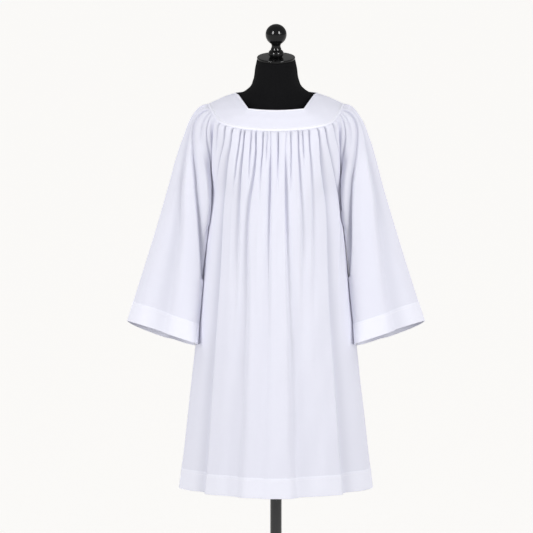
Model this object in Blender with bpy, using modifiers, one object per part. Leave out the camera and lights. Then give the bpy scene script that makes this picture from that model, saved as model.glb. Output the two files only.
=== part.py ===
"""A surplice with a round yoke and a square neck, worn by a limbless dress form on a stand.

The front faces -Y and the floor is Z = 0. Every panel of cloth is a smooth base surface, read
from a short table of sections, with gathers and folds raised outwards from it, and is then
given its thickness towards the inside. Metres throughout.
"""

import math
from collections import namedtuple

import bmesh
import bpy
import numpy as np

# Driving sizes of the garment
HEM_HEIGHT = 0.527
HEM_DEPTH = 0.050
CLOTH = 0.0012
DOUBLE_CLOTH = 0.0016
SEAM_GAP = 0.0006
GATHER_GAP = 0.0009
SHOULDER_GAP = 0.0012
RAGLAN_GAP = 0.0018
SLEEVE_CLEARANCE = 0.0010
SEAM_STRIP = 0.012
UNDERARM_HEIGHT = 1.262
UNDERARM_HALF_WIDTH = 0.1545
HEM_HALF_WIDTH = 0.2350
SHOULDER_HEIGHT = 1.4722
SHOULDER_HALF_WIDTH = 0.1645
NECK_HALF_WIDTH = 0.0985
NECK_POINT_HEIGHT = 1.4978

# Driving sizes of the dress form
FLOOR = 0.0
BASE_RADIUS = 0.200
BASE_THICKNESS = 0.012
POLE_RADIUS = 0.014
TORSO_BOTTOM = 0.800
NECK_TOP = 1.5805
CAP_RADIUS = 0.0465
CAP_THICKNESS = 0.006
CAP_TILT = math.radians(9)
PART_GAP = 0.0003

# Shares of the way down at which the side seam and the sleeve seam begin
UNDERARM_SHARE = 0.22
SLEEVE_UNDERARM_SHARE = 0.36
HEM_LINE = HEM_HEIGHT + HEM_DEPTH


def side_width(height):
    """Half the body's width below the underarm, on the straight line of the side seam."""
    share = (UNDERARM_HEIGHT - height) / (UNDERARM_HEIGHT - HEM_HEIGHT)
    return UNDERARM_HALF_WIDTH + share * (HEM_HALF_WIDTH - UNDERARM_HALF_WIDTH)


# Sections of a body panel, from the yoke seam to the hem. The middle is the centre line of the
# panel, and the edge is the sleeve seam down to the underarm, then the side seam.
BodySection = namedtuple("BodySection", "share middle_z edge_z half_width edge_y middle_y spread")
FRONT_SECTIONS = [
    BodySection(0.00, 1.4194, 1.4443, 0.1445, -0.0680, -0.1120, 0.50),
    BodySection(0.06, 1.3700, 1.4020, 0.1470, -0.0580, -0.1270, 0.42),
    BodySection(0.14, 1.3010, 1.3360, 0.1510, -0.0370, -0.1380, 0.22),
    BodySection(UNDERARM_SHARE, 1.2350, UNDERARM_HEIGHT, UNDERARM_HALF_WIDTH, 0, -0.1420, 0.05),
    BodySection(0.40, 1.0830, 1.0910, side_width(1.087), 0, -0.1500, 0),
    BodySection(0.70, 0.8300, 0.8340, side_width(0.832), 0, -0.1660, 0),
    BodySection(1.00, HEM_LINE, HEM_LINE, side_width(HEM_LINE), 0, -0.1780, 0),
]
BACK_SECTIONS = [
    BodySection(0.00, 1.4400, 1.4585, 0.1440, 0.0620, 0.1060, 0.50),
    BodySection(0.06, 1.3900, 1.4130, 0.1470, 0.0540, 0.1190, 0.42),
    BodySection(0.14, 1.3160, 1.3410, 0.1510, 0.0360, 0.1260, 0.22),
    BodySection(UNDERARM_SHARE, 1.2450, UNDERARM_HEIGHT, UNDERARM_HALF_WIDTH, 0, 0.1290, 0.05),
    BodySection(0.40, 1.0870, 1.0910, side_width(1.087), 0, 0.1380, 0),
    BodySection(0.70, 0.8310, 0.8340, side_width(0.832), 0, 0.1580, 0),
    BodySection(1.00, HEM_LINE, HEM_LINE, side_width(HEM_LINE), 0, 0.1760, 0),
]

# Sections of the wearer's left sleeve, from the yoke seam to the top of the cuff hem. The top
# is the line from the shoulder to the outer corner of the cuff. The bulges are how far the
# front and the back of the sleeve stand out from the plane of its two seams. Ring is 0 where
# the section is an open strip of the yoke seam and 1 where it is a closed ring.
SleeveSection = namedtuple(
    "SleeveSection",
    "share top_x top_y top_z bulge_x front_bulge_y front_bulge_z back_bulge_y back_bulge_z ring",
)
SLEEVE_SECTIONS = [
    SleeveSection(0.00, SHOULDER_HALF_WIDTH, 0, SHOULDER_HEIGHT, 0.004, 0, 0.0045, 0, 0.003, 0.0),
    SleeveSection(0.06, 0.1890, 0.000, 1.4650, 0.006, -0.006, 0.006, 0.006, 0.005, 0.2),
    SleeveSection(0.12, 0.2085, 0.000, 1.4380, 0.006, -0.020, 0.007, 0.020, 0.006, 0.5),
    SleeveSection(0.24, 0.2335, -0.001, 1.3700, 0.018, -0.040, 0.004, 0.038, 0.003, 0.7),
    SleeveSection(SLEEVE_UNDERARM_SHARE, 0.2540, -0.003, 1.3020, 0.010, -0.060, 0, 0.056, 0, 1.0),
    SleeveSection(0.68, 0.3010, -0.010, 1.1460, 0, -0.058, 0.002, 0.058, -0.006, 1.0),
    SleeveSection(1.00, 0.3490, -0.018, 0.9870, 0, -0.050, 0.005, 0.055, -0.012, 1.0),
]
UnderarmPoint = namedtuple("UnderarmPoint", "share x y z")
UNDERARM_LINE = [
    UnderarmPoint(SLEEVE_UNDERARM_SHARE, UNDERARM_HALF_WIDTH, 0, UNDERARM_HEIGHT),
    UnderarmPoint(0.52, 0.1715, -0.008, 1.1800),
    UnderarmPoint(0.68, 0.1850, -0.020, 1.0980),
    UnderarmPoint(1.00, 0.1965, -0.042, 0.9350),
]
CUFF_TOP = (0.3640, -0.022, 0.9410)
CUFF_UNDER = (0.1990, -0.047, 0.8860)
CUFF_FRONT_BULGE = (0, -0.048, 0.006)
CUFF_BACK_BULGE = (0, 0.053, -0.014)

# The folds that run on below the gathers. Across is -1 at one edge of the panel and 1 at the
# other, and the depths are those of the valley at the chest, the waist and the hem.
Fold = namedtuple("Fold", "across chest waist hem width")
FRONT_FOLDS = [
    Fold(-0.84, 0.005, 0.003, 0.002, 0.07),
    Fold(-0.61, 0.009, 0.010, 0.010, 0.09),
    Fold(-0.40, 0.006, 0.003, 0.001, 0.08),
    Fold(-0.27, 0.009, 0.010, 0.008, 0.09),
    Fold(-0.065, 0.010, 0.007, 0.003, 0.07),
    Fold(0.11, 0.010, 0.011, 0.010, 0.10),
    Fold(0.25, 0.008, 0.004, 0.002, 0.08),
    Fold(0.42, 0.006, 0.002, 0.002, 0.08),
    Fold(0.57, 0.009, 0.011, 0.011, 0.10),
    Fold(0.78, 0.007, 0.004, 0.002, 0.08),
]
BACK_FOLDS = [
    Fold(-0.78, 0.006, 0.004, 0.003, 0.08),
    Fold(-0.55, 0.009, 0.010, 0.010, 0.10),
    Fold(-0.33, 0.008, 0.005, 0.003, 0.08),
    Fold(-0.12, 0.010, 0.010, 0.009, 0.09),
    Fold(0.07, 0.008, 0.004, 0.002, 0.08),
    Fold(0.24, 0.009, 0.011, 0.010, 0.10),
    Fold(0.47, 0.008, 0.004, 0.003, 0.08),
    Fold(0.64, 0.009, 0.010, 0.010, 0.09),
    Fold(0.85, 0.005, 0.003, 0.002, 0.07),
]
# Folds of a sleeve. They hang straight down while the sleeve slants outwards, so each has a
# place across at the yoke and another at the cuff: 0 is the front seam and 1 the back seam.
SleeveFold = namedtuple("SleeveFold", "across_yoke across_cuff chest elbow cuff width")
SLEEVE_FOLDS = [
    SleeveFold(0.30, 0.02, 0.010, 0.006, 0.001, 0.030),
    SleeveFold(0.42, 0.24, 0.003, 0.005, 0.004, 0.060),
    SleeveFold(0.57, 0.68, 0.004, 0.004, 0.003, 0.060),
    SleeveFold(0.74, 0.88, 0.009, 0.007, 0.004, 0.045),
]

BODY_GATHERS = 26
SLEEVE_GATHERS = 12
# Half the width of a gather's valley, as a share of the space between its neighbours
GATHER_WIDTH = 0.18
# Where the shoulders of a ridge are between two valleys
RIDGE_SHOULDERS = (0.34, 0.66)

# How far the cloth stands out from its base surface on the way down
LiftPoint = namedtuple("LiftPoint", "share lift")
BODY_LIFT = [
    LiftPoint(0, 0.0020),
    LiftPoint(0.014, 0.0050),
    LiftPoint(0.06, 0.0075),
    LiftPoint(0.2, 0.0095),
    LiftPoint(0.5, 0.0110),
    LiftPoint(1.0, 0.0120),
]
SLEEVE_LIFT = [
    LiftPoint(0, 0.002),
    LiftPoint(0.02, 0.005),
    LiftPoint(0.1, 0.008),
    LiftPoint(0.4, 0.007),
    LiftPoint(1.0, 0.004),
]
# How wide the calm strip beside a panel's edge is, as a share of half the panel
CalmPoint = namedtuple("CalmPoint", "share width")
BODY_CALM = [CalmPoint(0, 0.06), CalmPoint(0.03, 0.10), CalmPoint(0.15, 0.30), CalmPoint(1.0, 0.35)]
SLEEVE_CALM = 0.09
# The shares of the way down of a fold's three depths. The first depth also holds at the yoke.
FOLD_LEVELS = [0, 0.15, 0.5, 1.0]

# Rows of the cloth's grids. A sleeve and the panels share their rows as far as the underarm.
SEAM_ROWS = [0, 0.012, 0.035, 0.08, 0.15, UNDERARM_SHARE]
BODY_ROWS = [*SEAM_ROWS, 0.34, 0.50, 0.74, 1.0]
TO_SLEEVE = SLEEVE_UNDERARM_SHARE / UNDERARM_SHARE
SLEEVE_ROWS = [*[row * TO_SLEEVE for row in SEAM_ROWS], 0.50, 0.68, 0.84, 1.0]


def read_table(rows, shares):
    """Each column of the table at these shares, on a smooth curve that never overshoots."""
    table = np.array(rows, float)
    knots = table[:, 0]
    slopes = np.gradient(table, knots, axis=0)
    rises = np.diff(table, axis=0)
    slopes[1:-1][rises[:-1] * rises[1:] <= 0] = 0
    at = np.clip(np.searchsorted(knots, shares, side="right") - 1, 0, len(knots) - 2)
    span = knots[at + 1] - knots[at]
    t = ((shares - knots[at]) / span)[:, None]
    span = span[:, None]
    curve = (
        (2 * t**3 - 3 * t**2 + 1) * table[at]
        + (t**3 - 2 * t**2 + t) * span * slopes[at]
        + (3 * t**2 - 2 * t**3) * table[at + 1]
        + (t**3 - t**2) * span * slopes[at + 1]
    )
    return rows[0].__class__(*curve.T)


def read_line(points, shares):
    """The second column of a short table at these shares, on straight lines between its rows."""
    knots, values = zip(*points)
    return np.interp(shares, knots, values)


def smooth_step(value):
    """0 below 0, 1 above 1, and a smooth rise between."""
    t = np.clip(value, 0, 1)
    return t * t * (3 - 2 * t)


def body_base(sections, across, down):
    """Points of a body panel with no folds. Across runs from -1 to 1."""
    section = read_table(sections, down)
    angle = math.pi / 2 * (across * (1 - section.spread) + section.spread * across**3)
    forward = np.cos(angle)
    return np.column_stack(
        [
            section.half_width * np.sin(angle),
            section.edge_y + (section.middle_y - section.edge_y) * forward,
            section.edge_z + (section.middle_z - section.edge_z) * forward,
        ]
    )


def sleeve_seam(sections, down):
    """The edge of a sleeve: the body panel's edge as far as the underarm, then its own seam."""
    body_share = np.clip(down / SLEEVE_UNDERARM_SHARE, 0, 1) * UNDERARM_SHARE
    on_body = body_base(sections, np.ones_like(down), body_share)
    line = read_table(UNDERARM_LINE, np.maximum(down, SLEEVE_UNDERARM_SHARE))
    own = np.column_stack([line.x, line.y, line.z])
    seam = np.where((down <= SLEEVE_UNDERARM_SHARE)[:, None], on_body, own)
    return seam + (SLEEVE_CLEARANCE, 0, 0)


def sleeve_base(across, down):
    """Points of the wearer's left sleeve with no folds.

    Across is 0 at the front seam and 1 at the back seam.
    """
    section = read_table(SLEEVE_SECTIONS, down)
    in_front = across <= 0.5
    turn = np.where(in_front, 2 * across, 2 - 2 * across)
    seam = np.where(
        in_front[:, None], sleeve_seam(FRONT_SECTIONS, down), sleeve_seam(BACK_SECTIONS, down)
    )
    top = np.column_stack([section.top_x, section.top_y, section.top_z])
    reach = (1 - section.ring) * turn + section.ring * np.sin(math.pi / 2 * turn) ** 2
    bulge = np.column_stack(
        [
            section.bulge_x,
            np.where(in_front, section.front_bulge_y, section.back_bulge_y),
            np.where(in_front, section.front_bulge_z, section.back_bulge_z),
        ]
    )
    swell = np.clip(np.sin(math.pi * turn), 0, 1) ** (1 - 0.2 * section.ring)
    return seam + (top - seam) * reach[:, None] + bulge * swell[:, None]


def cuff_edge(across):
    """The free edge of the wearer's left sleeve."""
    in_front = (across <= 0.5)[:, None]
    turn = np.where(across <= 0.5, 2 * across, 2 - 2 * across)
    reach = np.sin(math.pi / 2 * turn)[:, None] ** 2
    bulge = np.where(in_front, CUFF_FRONT_BULGE, CUFF_BACK_BULGE)
    swell = np.clip(np.sin(math.pi * turn), 0, 1)[:, None] ** 0.8
    return np.array(CUFF_UNDER) * (1 - reach) + np.array(CUFF_TOP) * reach + bulge * swell


def even_shares(curve, low, high, count):
    """Places across that divide the curve into equal lengths, ends included."""
    fine = np.linspace(low, high, 400)
    points = curve(fine)
    steps = np.linalg.norm(np.diff(points, axis=0), axis=1)
    length = np.concatenate([[0], np.cumsum(steps)])
    return np.interp(np.linspace(0, length[-1], count), length, fine)


def uneven(index, amount):
    """A fixed irregular number for this index, between -amount and amount."""
    return amount * math.sin(index * 12.9898 + 4.1) * math.cos(index * 3.7 + 1.3)


def gather_lines(curve, low, high, count):
    """The valleys between the gathers, nearly even along the yoke seam."""
    lines = even_shares(curve, low, high, count + 1)
    step = lines[1] - lines[0]
    inner = [lines[i] + uneven(i, 0.3) * step for i in range(1, count)]
    return np.array([lines[0], *inner, lines[-1]])


def dip(distance):
    """The shape across a valley: sharp at the bottom and soft at its sides."""
    return 1 / (1 + distance**2) ** 1.5


def depth_at(down, depths):
    """A valley's depth at the chest, the waist and the hem, read at these shares."""
    return np.interp(down, FOLD_LEVELS, [depths[0], *depths])


def body_folds(folds, lines, across, down):
    """How far the cloth of a body panel stands out from its base surface."""
    lift = read_line(BODY_LIFT, down)
    long_lines = {int(np.argmin(abs(lines - fold.across))): fold for fold in folds}
    sunk = np.zeros_like(down)
    for index, line in enumerate(lines[1:-1], 1):
        gather_width = GATHER_WIDTH * (lines[index + 1] - lines[index - 1])
        fade = 0.10 + abs(uneven(index, 0.10))
        gather_depth = lift * (1 - smooth_step(down / fade))
        if index in long_lines:
            fold = long_lines[index]
            width = gather_width + (fold.width - gather_width) * smooth_step(down / 0.5)
            started = smooth_step(down / 0.05)
            depth = np.minimum(depth_at(down, fold[1:4]), lift) * started + lift * (1 - started)
        else:
            width = gather_width * (1 + 2 * smooth_step(down / fade))
            depth = gather_depth
        sunk += depth * dip((across - line) / width)
    height = np.clip(lift - sunk, 0, None)
    return height * smooth_step((1 - abs(across) - SEAM_STRIP) / read_line(BODY_CALM, down))


def sleeve_folds(lines, across, down):
    """How far the cloth of a sleeve stands out from its base surface."""
    lift = read_line(SLEEVE_LIFT, down)
    sunk = np.zeros_like(down)
    for index, line in enumerate(lines[1:-1], 1):
        width = GATHER_WIDTH * (lines[index + 1] - lines[index - 1])
        fade = 0.17 + abs(uneven(index + 40, 0.12))
        sunk += lift * (1 - smooth_step(down / fade)) * dip((across - line) / width)
    for fold in SLEEVE_FOLDS:
        line = fold.across_yoke + (fold.across_cuff - fold.across_yoke) * smooth_step(down / 0.9)
        depth = depth_at(down, fold[2:5]) * smooth_step((down - 0.02) / 0.12)
        sunk += depth * dip((across - line) / fold.width)
    height = np.clip(lift - sunk, 0, None)
    from_seam = 0.5 - abs(across - 0.5) - SEAM_STRIP
    return height * smooth_step(from_seam / SLEEVE_CALM)


def raised(base, height, across, down):
    """The base surface's points moved outwards by the height of the cloth there."""
    step = 1e-4
    along = base(across + step, down) - base(across - step, down)
    below = base(across, np.minimum(down + step, 1)) - base(across, np.maximum(down - step, 0))
    outwards = np.cross(below, along)
    outwards /= np.linalg.norm(outwards, axis=1, keepdims=True)
    return base(across, down) + outwards * height[:, None]


def columns_of(lines, first, last):
    """Columns of a gathered panel: each valley, and the two shoulders of each ridge."""
    columns = []
    for left, right in zip(lines[:-1], lines[1:]):
        columns += [left, *[left + share * (right - left) for share in RIDGE_SHOULDERS]]
    columns[1:1] = [first + SEAM_STRIP]
    columns += [last - SEAM_STRIP, last]
    return np.array(columns)


def inset(grid, top, bottom, sides):
    """Draws the borders of a grid of points in along its own lines, by one gap or one a point."""
    drawn = grid.copy()
    every = slice(None)
    borders = [
        ((0, every), (1, every), top),
        ((-1, every), (-2, every), bottom),
        ((every, 0), (every, 1), sides),
        ((every, -1), (every, -2), sides),
    ]
    for border, neighbour, gap in borders:
        way = grid[neighbour] - grid[border]
        drawn[border] += way / np.linalg.norm(way, axis=-1, keepdims=True) * np.reshape(gap, (-1, 1))
    return drawn


def material(name, colour, roughness, metallic=0.0):
    made = bpy.data.materials.new(name)
    made.use_nodes = True
    shader = made.node_tree.nodes["Principled BSDF"]
    shader.inputs["Base Color"].default_value = (*colour, 1)
    shader.inputs["Roughness"].default_value = roughness
    shader.inputs["Metallic"].default_value = metallic
    made.diffuse_color = (*colour, 1)
    return made


def link(name, mesh, finish, collection):
    made = bpy.data.objects.new(name, mesh)
    mesh.materials.append(finish)
    collection.objects.link(made)
    mesh.shade_smooth()
    return made


def cloth_sheet(name, grid, thickness, finish, collection, closed=False):
    """An open sheet through a grid of points, thickened towards its inside.

    The grid's rows run down the cloth and its columns across it. A closed grid's last column
    repeats its first, and the two are welded.
    """
    rows, columns = grid.shape[:2]
    sheet = bmesh.new()
    bmesh.ops.create_grid(sheet, x_segments=columns - 1, y_segments=rows - 1, size=0.5)
    for vertex in sheet.verts:
        column = round((vertex.co.x + 0.5) * (columns - 1))
        row = round((0.5 - vertex.co.y) * (rows - 1))
        vertex.co = grid[row, column]
    if closed:
        bmesh.ops.remove_doubles(sheet, verts=sheet.verts, dist=1e-6)
    mesh = bpy.data.meshes.new(name)
    sheet.to_mesh(mesh)
    sheet.free()
    made = link(name, mesh, finish, collection)
    wall = made.modifiers.new("Thickness", "SOLIDIFY")
    wall.thickness = thickness
    wall.offset = -1
    return made


def turned(name, profile, steps, finish, collection):
    """A turned solid from its profile of (radius, height), listed from the top down."""
    mesh = bpy.data.meshes.new(name)
    edges = [(i, i + 1) for i in range(len(profile) - 1)]
    mesh.from_pydata([(radius, 0, height) for radius, height in profile], edges, [])
    made = link(name, mesh, finish, collection)
    screw = made.modifiers.new("Turn", "SCREW")
    screw.steps = steps
    screw.render_steps = steps
    screw.use_merge_vertices = True
    screw.merge_threshold = 1e-5
    screw.use_smooth_shade = True
    return made


def panel_grid(base, height, columns, rows):
    across, down = np.meshgrid(columns, np.array(rows, float))
    flat = raised(base, height(across.ravel(), down.ravel()), across.ravel(), down.ravel())
    return flat.reshape(len(rows), len(columns), 3)


def make_body_panel(side, sections, folds, finish, collection):
    """The front or the back of the body, and its hem."""

    def base(across, down):
        return body_base(sections, across, down)

    front = side == "front"
    half_gap = SEAM_GAP / 2
    lines = gather_lines(lambda across: base(across, np.zeros_like(across)), -1, 1, BODY_GATHERS)
    columns = columns_of(lines, -1, 1)
    if not front:
        columns = columns[::-1]

    def height(across, down):
        lifted = body_folds(folds, lines, across, down)
        return lifted if front else -lifted

    grid = panel_grid(base, height, columns, BODY_ROWS)
    cloth_sheet(f"{side}_panel", inset(grid, GATHER_GAP, half_gap, half_gap), CLOTH, finish, collection)
    fall = np.array([0, 0, -HEM_DEPTH])
    slope = grid[-1] - grid[-2]
    slope[:, 2] = 0
    fall = fall + slope * HEM_DEPTH / (grid[-2, 0, 2] - grid[-1, 0, 2])
    hem_columns = slice(None, None, 3)
    hem = np.stack([grid[-1, hem_columns], (grid[-1] + fall)[hem_columns]])
    hem[1, :, 2] = HEM_HEIGHT
    cloth_sheet(f"hem_{side}", inset(hem, half_gap, 0, half_gap), DOUBLE_CLOTH, finish, collection)


def make_sleeve(side, finish, collection):
    """One sleeve and its cuff hem. The wearer's right sleeve is the left one mirrored."""
    lines = gather_lines(
        lambda across: sleeve_base(across, np.zeros_like(across)), 0, 1, SLEEVE_GATHERS
    )
    columns = columns_of(lines, 0, 1)
    grid = panel_grid(
        sleeve_base, lambda across, down: sleeve_folds(lines, across, down), columns, SLEEVE_ROWS
    )
    open_rows = np.arange(len(SLEEVE_ROWS)) < len(SEAM_ROWS) - 1
    drawn = inset(grid, GATHER_GAP, SEAM_GAP / 2, SEAM_GAP / 2)
    drawn[~open_rows, 0] = grid[~open_rows, 0]
    drawn[~open_rows, -1] = grid[~open_rows, 0]
    edge = cuff_edge(columns)
    upper = grid[-1] - sleeve_base(columns, np.ones_like(columns))
    hem = np.stack([grid[-1], edge + upper])
    hem[:, -1] = hem[:, 0]
    hem = inset(hem, SEAM_GAP / 2, 0, 0)
    if side == "right":
        drawn = drawn[:, ::-1] * (-1, 1, 1)
        hem = hem[:, ::-1] * (-1, 1, 1)
    cloth_sheet(f"sleeve_{side}", drawn, CLOTH, finish, collection, closed=True)
    cloth_sheet(f"cuff_hem_{side}", hem, DOUBLE_CLOTH, finish, collection, closed=True)


def yoke_outer_edge(sections):
    """The yoke's outer edge over both sleeves and the panel, and its share at the sleeve's corner."""
    seam = 0 if sections is FRONT_SECTIONS else 1
    to_shoulder = np.linspace(seam, 0.5, 12)
    left = sleeve_base(to_shoulder, np.zeros_like(to_shoulder))
    over_panel = np.linspace(-1, 1, 40)
    panel = body_base(sections, over_panel, np.zeros_like(over_panel))
    whole = np.vstack([(left * (-1, 1, 1))[::-1], panel[1:-1], left])
    steps = np.linalg.norm(np.diff(whole, axis=0), axis=1)
    shares = np.concatenate([[0], np.cumsum(steps)]) / steps.sum()

    def edge(run):
        return np.column_stack([np.interp(run, shares, whole[:, axis]) for axis in range(3)])

    return edge, shares[len(left) - 1]


NeckPoint = namedtuple("NeckPoint", "share x y z")
FRONT_NECK = [
    NeckPoint(0.00, -NECK_HALF_WIDTH, 0, NECK_POINT_HEIGHT),
    NeckPoint(0.06, -0.0915, -0.0165, 1.4955),
    NeckPoint(0.27, -0.0670, -0.0740, 1.4680),
    NeckPoint(0.50, 0, -0.0800, 1.4647),
    NeckPoint(0.73, 0.0670, -0.0740, 1.4680),
    NeckPoint(0.94, 0.0915, -0.0165, 1.4955),
    NeckPoint(1.00, NECK_HALF_WIDTH, 0, NECK_POINT_HEIGHT),
]
BACK_NECK = [
    NeckPoint(0.00, -NECK_HALF_WIDTH, 0, NECK_POINT_HEIGHT),
    NeckPoint(0.27, -0.0680, 0.0640, 1.4950),
    NeckPoint(0.50, 0, 0.0690, 1.4960),
    NeckPoint(0.73, 0.0680, 0.0640, 1.4950),
    NeckPoint(1.00, NECK_HALF_WIDTH, 0, NECK_POINT_HEIGHT),
]
SQUARE_CORNER = 0.27
YOKE_ROWS = [0, 0.35, 0.7, 1.0]
YOKE_ROUNDING = 0.0025
# How near the sleeve's corner, as a share of the edge, the yoke stays clear by RAGLAN_GAP
RAGLAN_REACH = 0.04


def make_yoke(side, sections, neck, finish, collection):
    """The front or back half of the yoke, lofted from the square neck to the round seam."""
    edge, raglan = yoke_outer_edge(sections)
    to_middle = [
        *np.linspace(0, raglan, 6)[:-1],
        *np.linspace(raglan, SQUARE_CORNER, 5)[:-1],
        *np.linspace(SQUARE_CORNER, 0.5, 8)[:-1],
    ]
    run = np.array([*to_middle, 0.5, *[1 - share for share in to_middle[::-1]]])
    table = np.array(neck)
    inner = np.column_stack([np.interp(run, table[:, 0], table[:, axis]) for axis in (1, 2, 3)])
    outer = edge(run)
    rows = [inner + (outer - inner) * share for share in YOKE_ROWS]
    rounding = [YOKE_ROUNDING * 4 * share * (1 - share) for share in YOKE_ROWS]
    grid = np.stack([row + (0, 0, rise) for row, rise in zip(rows, rounding)])
    if side == "back":
        grid = grid[:, ::-1]
    near_raglan = np.minimum(abs(run - raglan), abs(1 - run - raglan))
    outer_gap = SEAM_GAP / 2 + RAGLAN_GAP * smooth_step(1 - near_raglan / RAGLAN_REACH)
    drawn = inset(grid, 0, outer_gap, SHOULDER_GAP / 2)
    cloth_sheet(f"yoke_{side}", drawn, DOUBLE_CLOTH, finish, collection)


# Rings of the torso and neck. Ridge is 1 for an ellipse and more where the ring comes to a
# point at each side, along the top of the shoulders.
TorsoRing = namedtuple("TorsoRing", "z half_width front back ridge")
TORSO_RINGS = [
    TorsoRing(NECK_TOP, 0.0465, 0.0470, 0.0470, 1.00),
    TorsoRing(1.5600, 0.0510, 0.0540, 0.0520, 1.00),
    TorsoRing(1.5300, 0.0560, 0.0590, 0.0560, 1.00),
    TorsoRing(1.5130, 0.0640, 0.0610, 0.0590, 1.08),
    TorsoRing(1.5010, 0.0800, 0.0620, 0.0600, 1.25),
    TorsoRing(1.4925, 0.0990, 0.0625, 0.0610, 1.50),
    TorsoRing(1.4820, 0.1240, 0.0630, 0.0630, 1.60),
    TorsoRing(1.4715, 0.1450, 0.0650, 0.0670, 1.55),
    TorsoRing(1.4600, 0.1540, 0.0690, 0.0730, 1.35),
    TorsoRing(1.4430, 0.1570, 0.0770, 0.0820, 1.12),
    TorsoRing(1.4180, 0.1590, 0.0880, 0.0930, 1.00),
    TorsoRing(1.3850, 0.1570, 0.1040, 0.1030, 1.00),
    TorsoRing(1.3300, 0.1500, 0.1180, 0.1090, 1.00),
    TorsoRing(1.2700, 0.1450, 0.1220, 0.1100, 1.00),
    TorsoRing(1.2000, 0.1420, 0.1180, 0.1050, 1.00),
    TorsoRing(1.1000, 0.1330, 0.1080, 0.0960, 1.00),
    TorsoRing(1.0200, 0.1300, 0.1030, 0.0940, 1.00),
    TorsoRing(0.9200, 0.1440, 0.1080, 0.1060, 1.00),
    TorsoRing(0.8400, 0.1520, 0.1120, 0.1120, 1.00),
    TorsoRing(TORSO_BOTTOM, 0.1500, 0.1100, 0.1100, 1.00),
]
TORSO_STEPS = 32


def make_torso(finish, collection):
    """The padded torso and neck, one closed solid lofted through its rings."""
    turn = np.linspace(0, 2 * math.pi, TORSO_STEPS, endpoint=False)
    body = bmesh.new()
    rings = []
    for ring in TORSO_RINGS:
        depth = np.where(np.sin(turn) < 0, ring.front, ring.back)
        tilt = (ring.z > NECK_TOP - 1e-6) * math.tan(CAP_TILT)
        x = np.sign(np.cos(turn)) * abs(np.cos(turn)) ** ring.ridge * ring.half_width
        y = np.sign(np.sin(turn)) * abs(np.sin(turn)) ** ring.ridge * depth
        points = zip(x, y, ring.z + y * tilt)
        rings.append([body.verts.new(point) for point in points])
    for upper, lower in zip(rings[:-1], rings[1:]):
        for i in range(TORSO_STEPS):
            j = (i + 1) % TORSO_STEPS
            body.faces.new([upper[i], lower[i], lower[j], upper[j]])
    body.faces.new(rings[0])
    body.faces.new(rings[-1][::-1])
    bmesh.ops.recalc_face_normals(body, faces=body.faces)
    mesh = bpy.data.meshes.new("form_torso")
    body.to_mesh(mesh)
    body.free()
    made = link("form_torso", mesh, finish, collection)
    mesh.set_sharp_from_angle(angle=math.radians(50))
    return made


FINIAL_BALL_RADIUS = 0.0248
FINIAL_BALL_HEIGHT = 0.0565
FINIAL_BALL_END = math.radians(50)
# The finial below its ball, as (radius, height above the cap): waist, flange, groove and bead
FINIAL_STEM = [
    (0.0127, 0.0340),
    (0.0105, 0.0295),
    (0.0103, 0.0255),
    (0.0122, 0.0172),
    (0.0108, 0.0152),
    (0.0150, 0.0128),
    (0.0175, 0.0075),
    (0.0160, 0.0030),
    (0.0135, 0),
    (0, 0),
]


# Profiles of the other turned pieces, as (radius, height), from the top down
CAP_PROFILE = [
    (0, CAP_THICKNESS),
    (CAP_RADIUS - 0.002, CAP_THICKNESS),
    (CAP_RADIUS, CAP_THICKNESS - 0.002),
    (CAP_RADIUS, 0.001),
    (CAP_RADIUS - 0.001, 0),
    (0, 0),
]
POLE_PROFILE = [
    (0, TORSO_BOTTOM - PART_GAP),
    (POLE_RADIUS, TORSO_BOTTOM - PART_GAP),
    (POLE_RADIUS, BASE_THICKNESS + 0.030),
    (POLE_RADIUS + 0.012, BASE_THICKNESS + 0.026),
    (POLE_RADIUS + 0.014, BASE_THICKNESS + PART_GAP),
    (0, BASE_THICKNESS + PART_GAP),
]
BASE_PROFILE = [
    (0, BASE_THICKNESS),
    (BASE_RADIUS - 0.010, BASE_THICKNESS),
    (BASE_RADIUS - 0.002, BASE_THICKNESS - 0.003),
    (BASE_RADIUS, BASE_THICKNESS - 0.006),
    (BASE_RADIUS, FLOOR),
    (0, FLOOR),
]


def ball_profile():
    """Points down the outside of the finial's ball, from its top to where the waist begins."""
    angles = np.linspace(math.pi / 2, -FINIAL_BALL_END, 12)
    radii = FINIAL_BALL_RADIUS * np.cos(angles)
    radii[0] = 0
    return list(zip(radii, FINIAL_BALL_HEIGHT + FINIAL_BALL_RADIUS * np.sin(angles)))


def make_stand(cover, wood, metal, collection):
    """The torso, its neck cap and finial, and the pole and base that they stand on."""
    make_torso(cover, collection)
    cap = turned("form_neck_cap", CAP_PROFILE, 32, wood, collection)
    cap.rotation_euler.x = CAP_TILT
    cap.location = (0, 0, NECK_TOP + PART_GAP)
    finial = turned("form_finial", [*ball_profile(), *FINIAL_STEM], 28, wood, collection)
    finial.rotation_euler.x = CAP_TILT
    lift = CAP_THICKNESS + PART_GAP
    finial.location = (0, -lift * math.sin(CAP_TILT), NECK_TOP + PART_GAP + lift * math.cos(CAP_TILT))
    turned("form_pole", POLE_PROFILE, 24, metal, collection)
    turned("form_base", BASE_PROFILE, 48, metal, collection)


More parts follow.
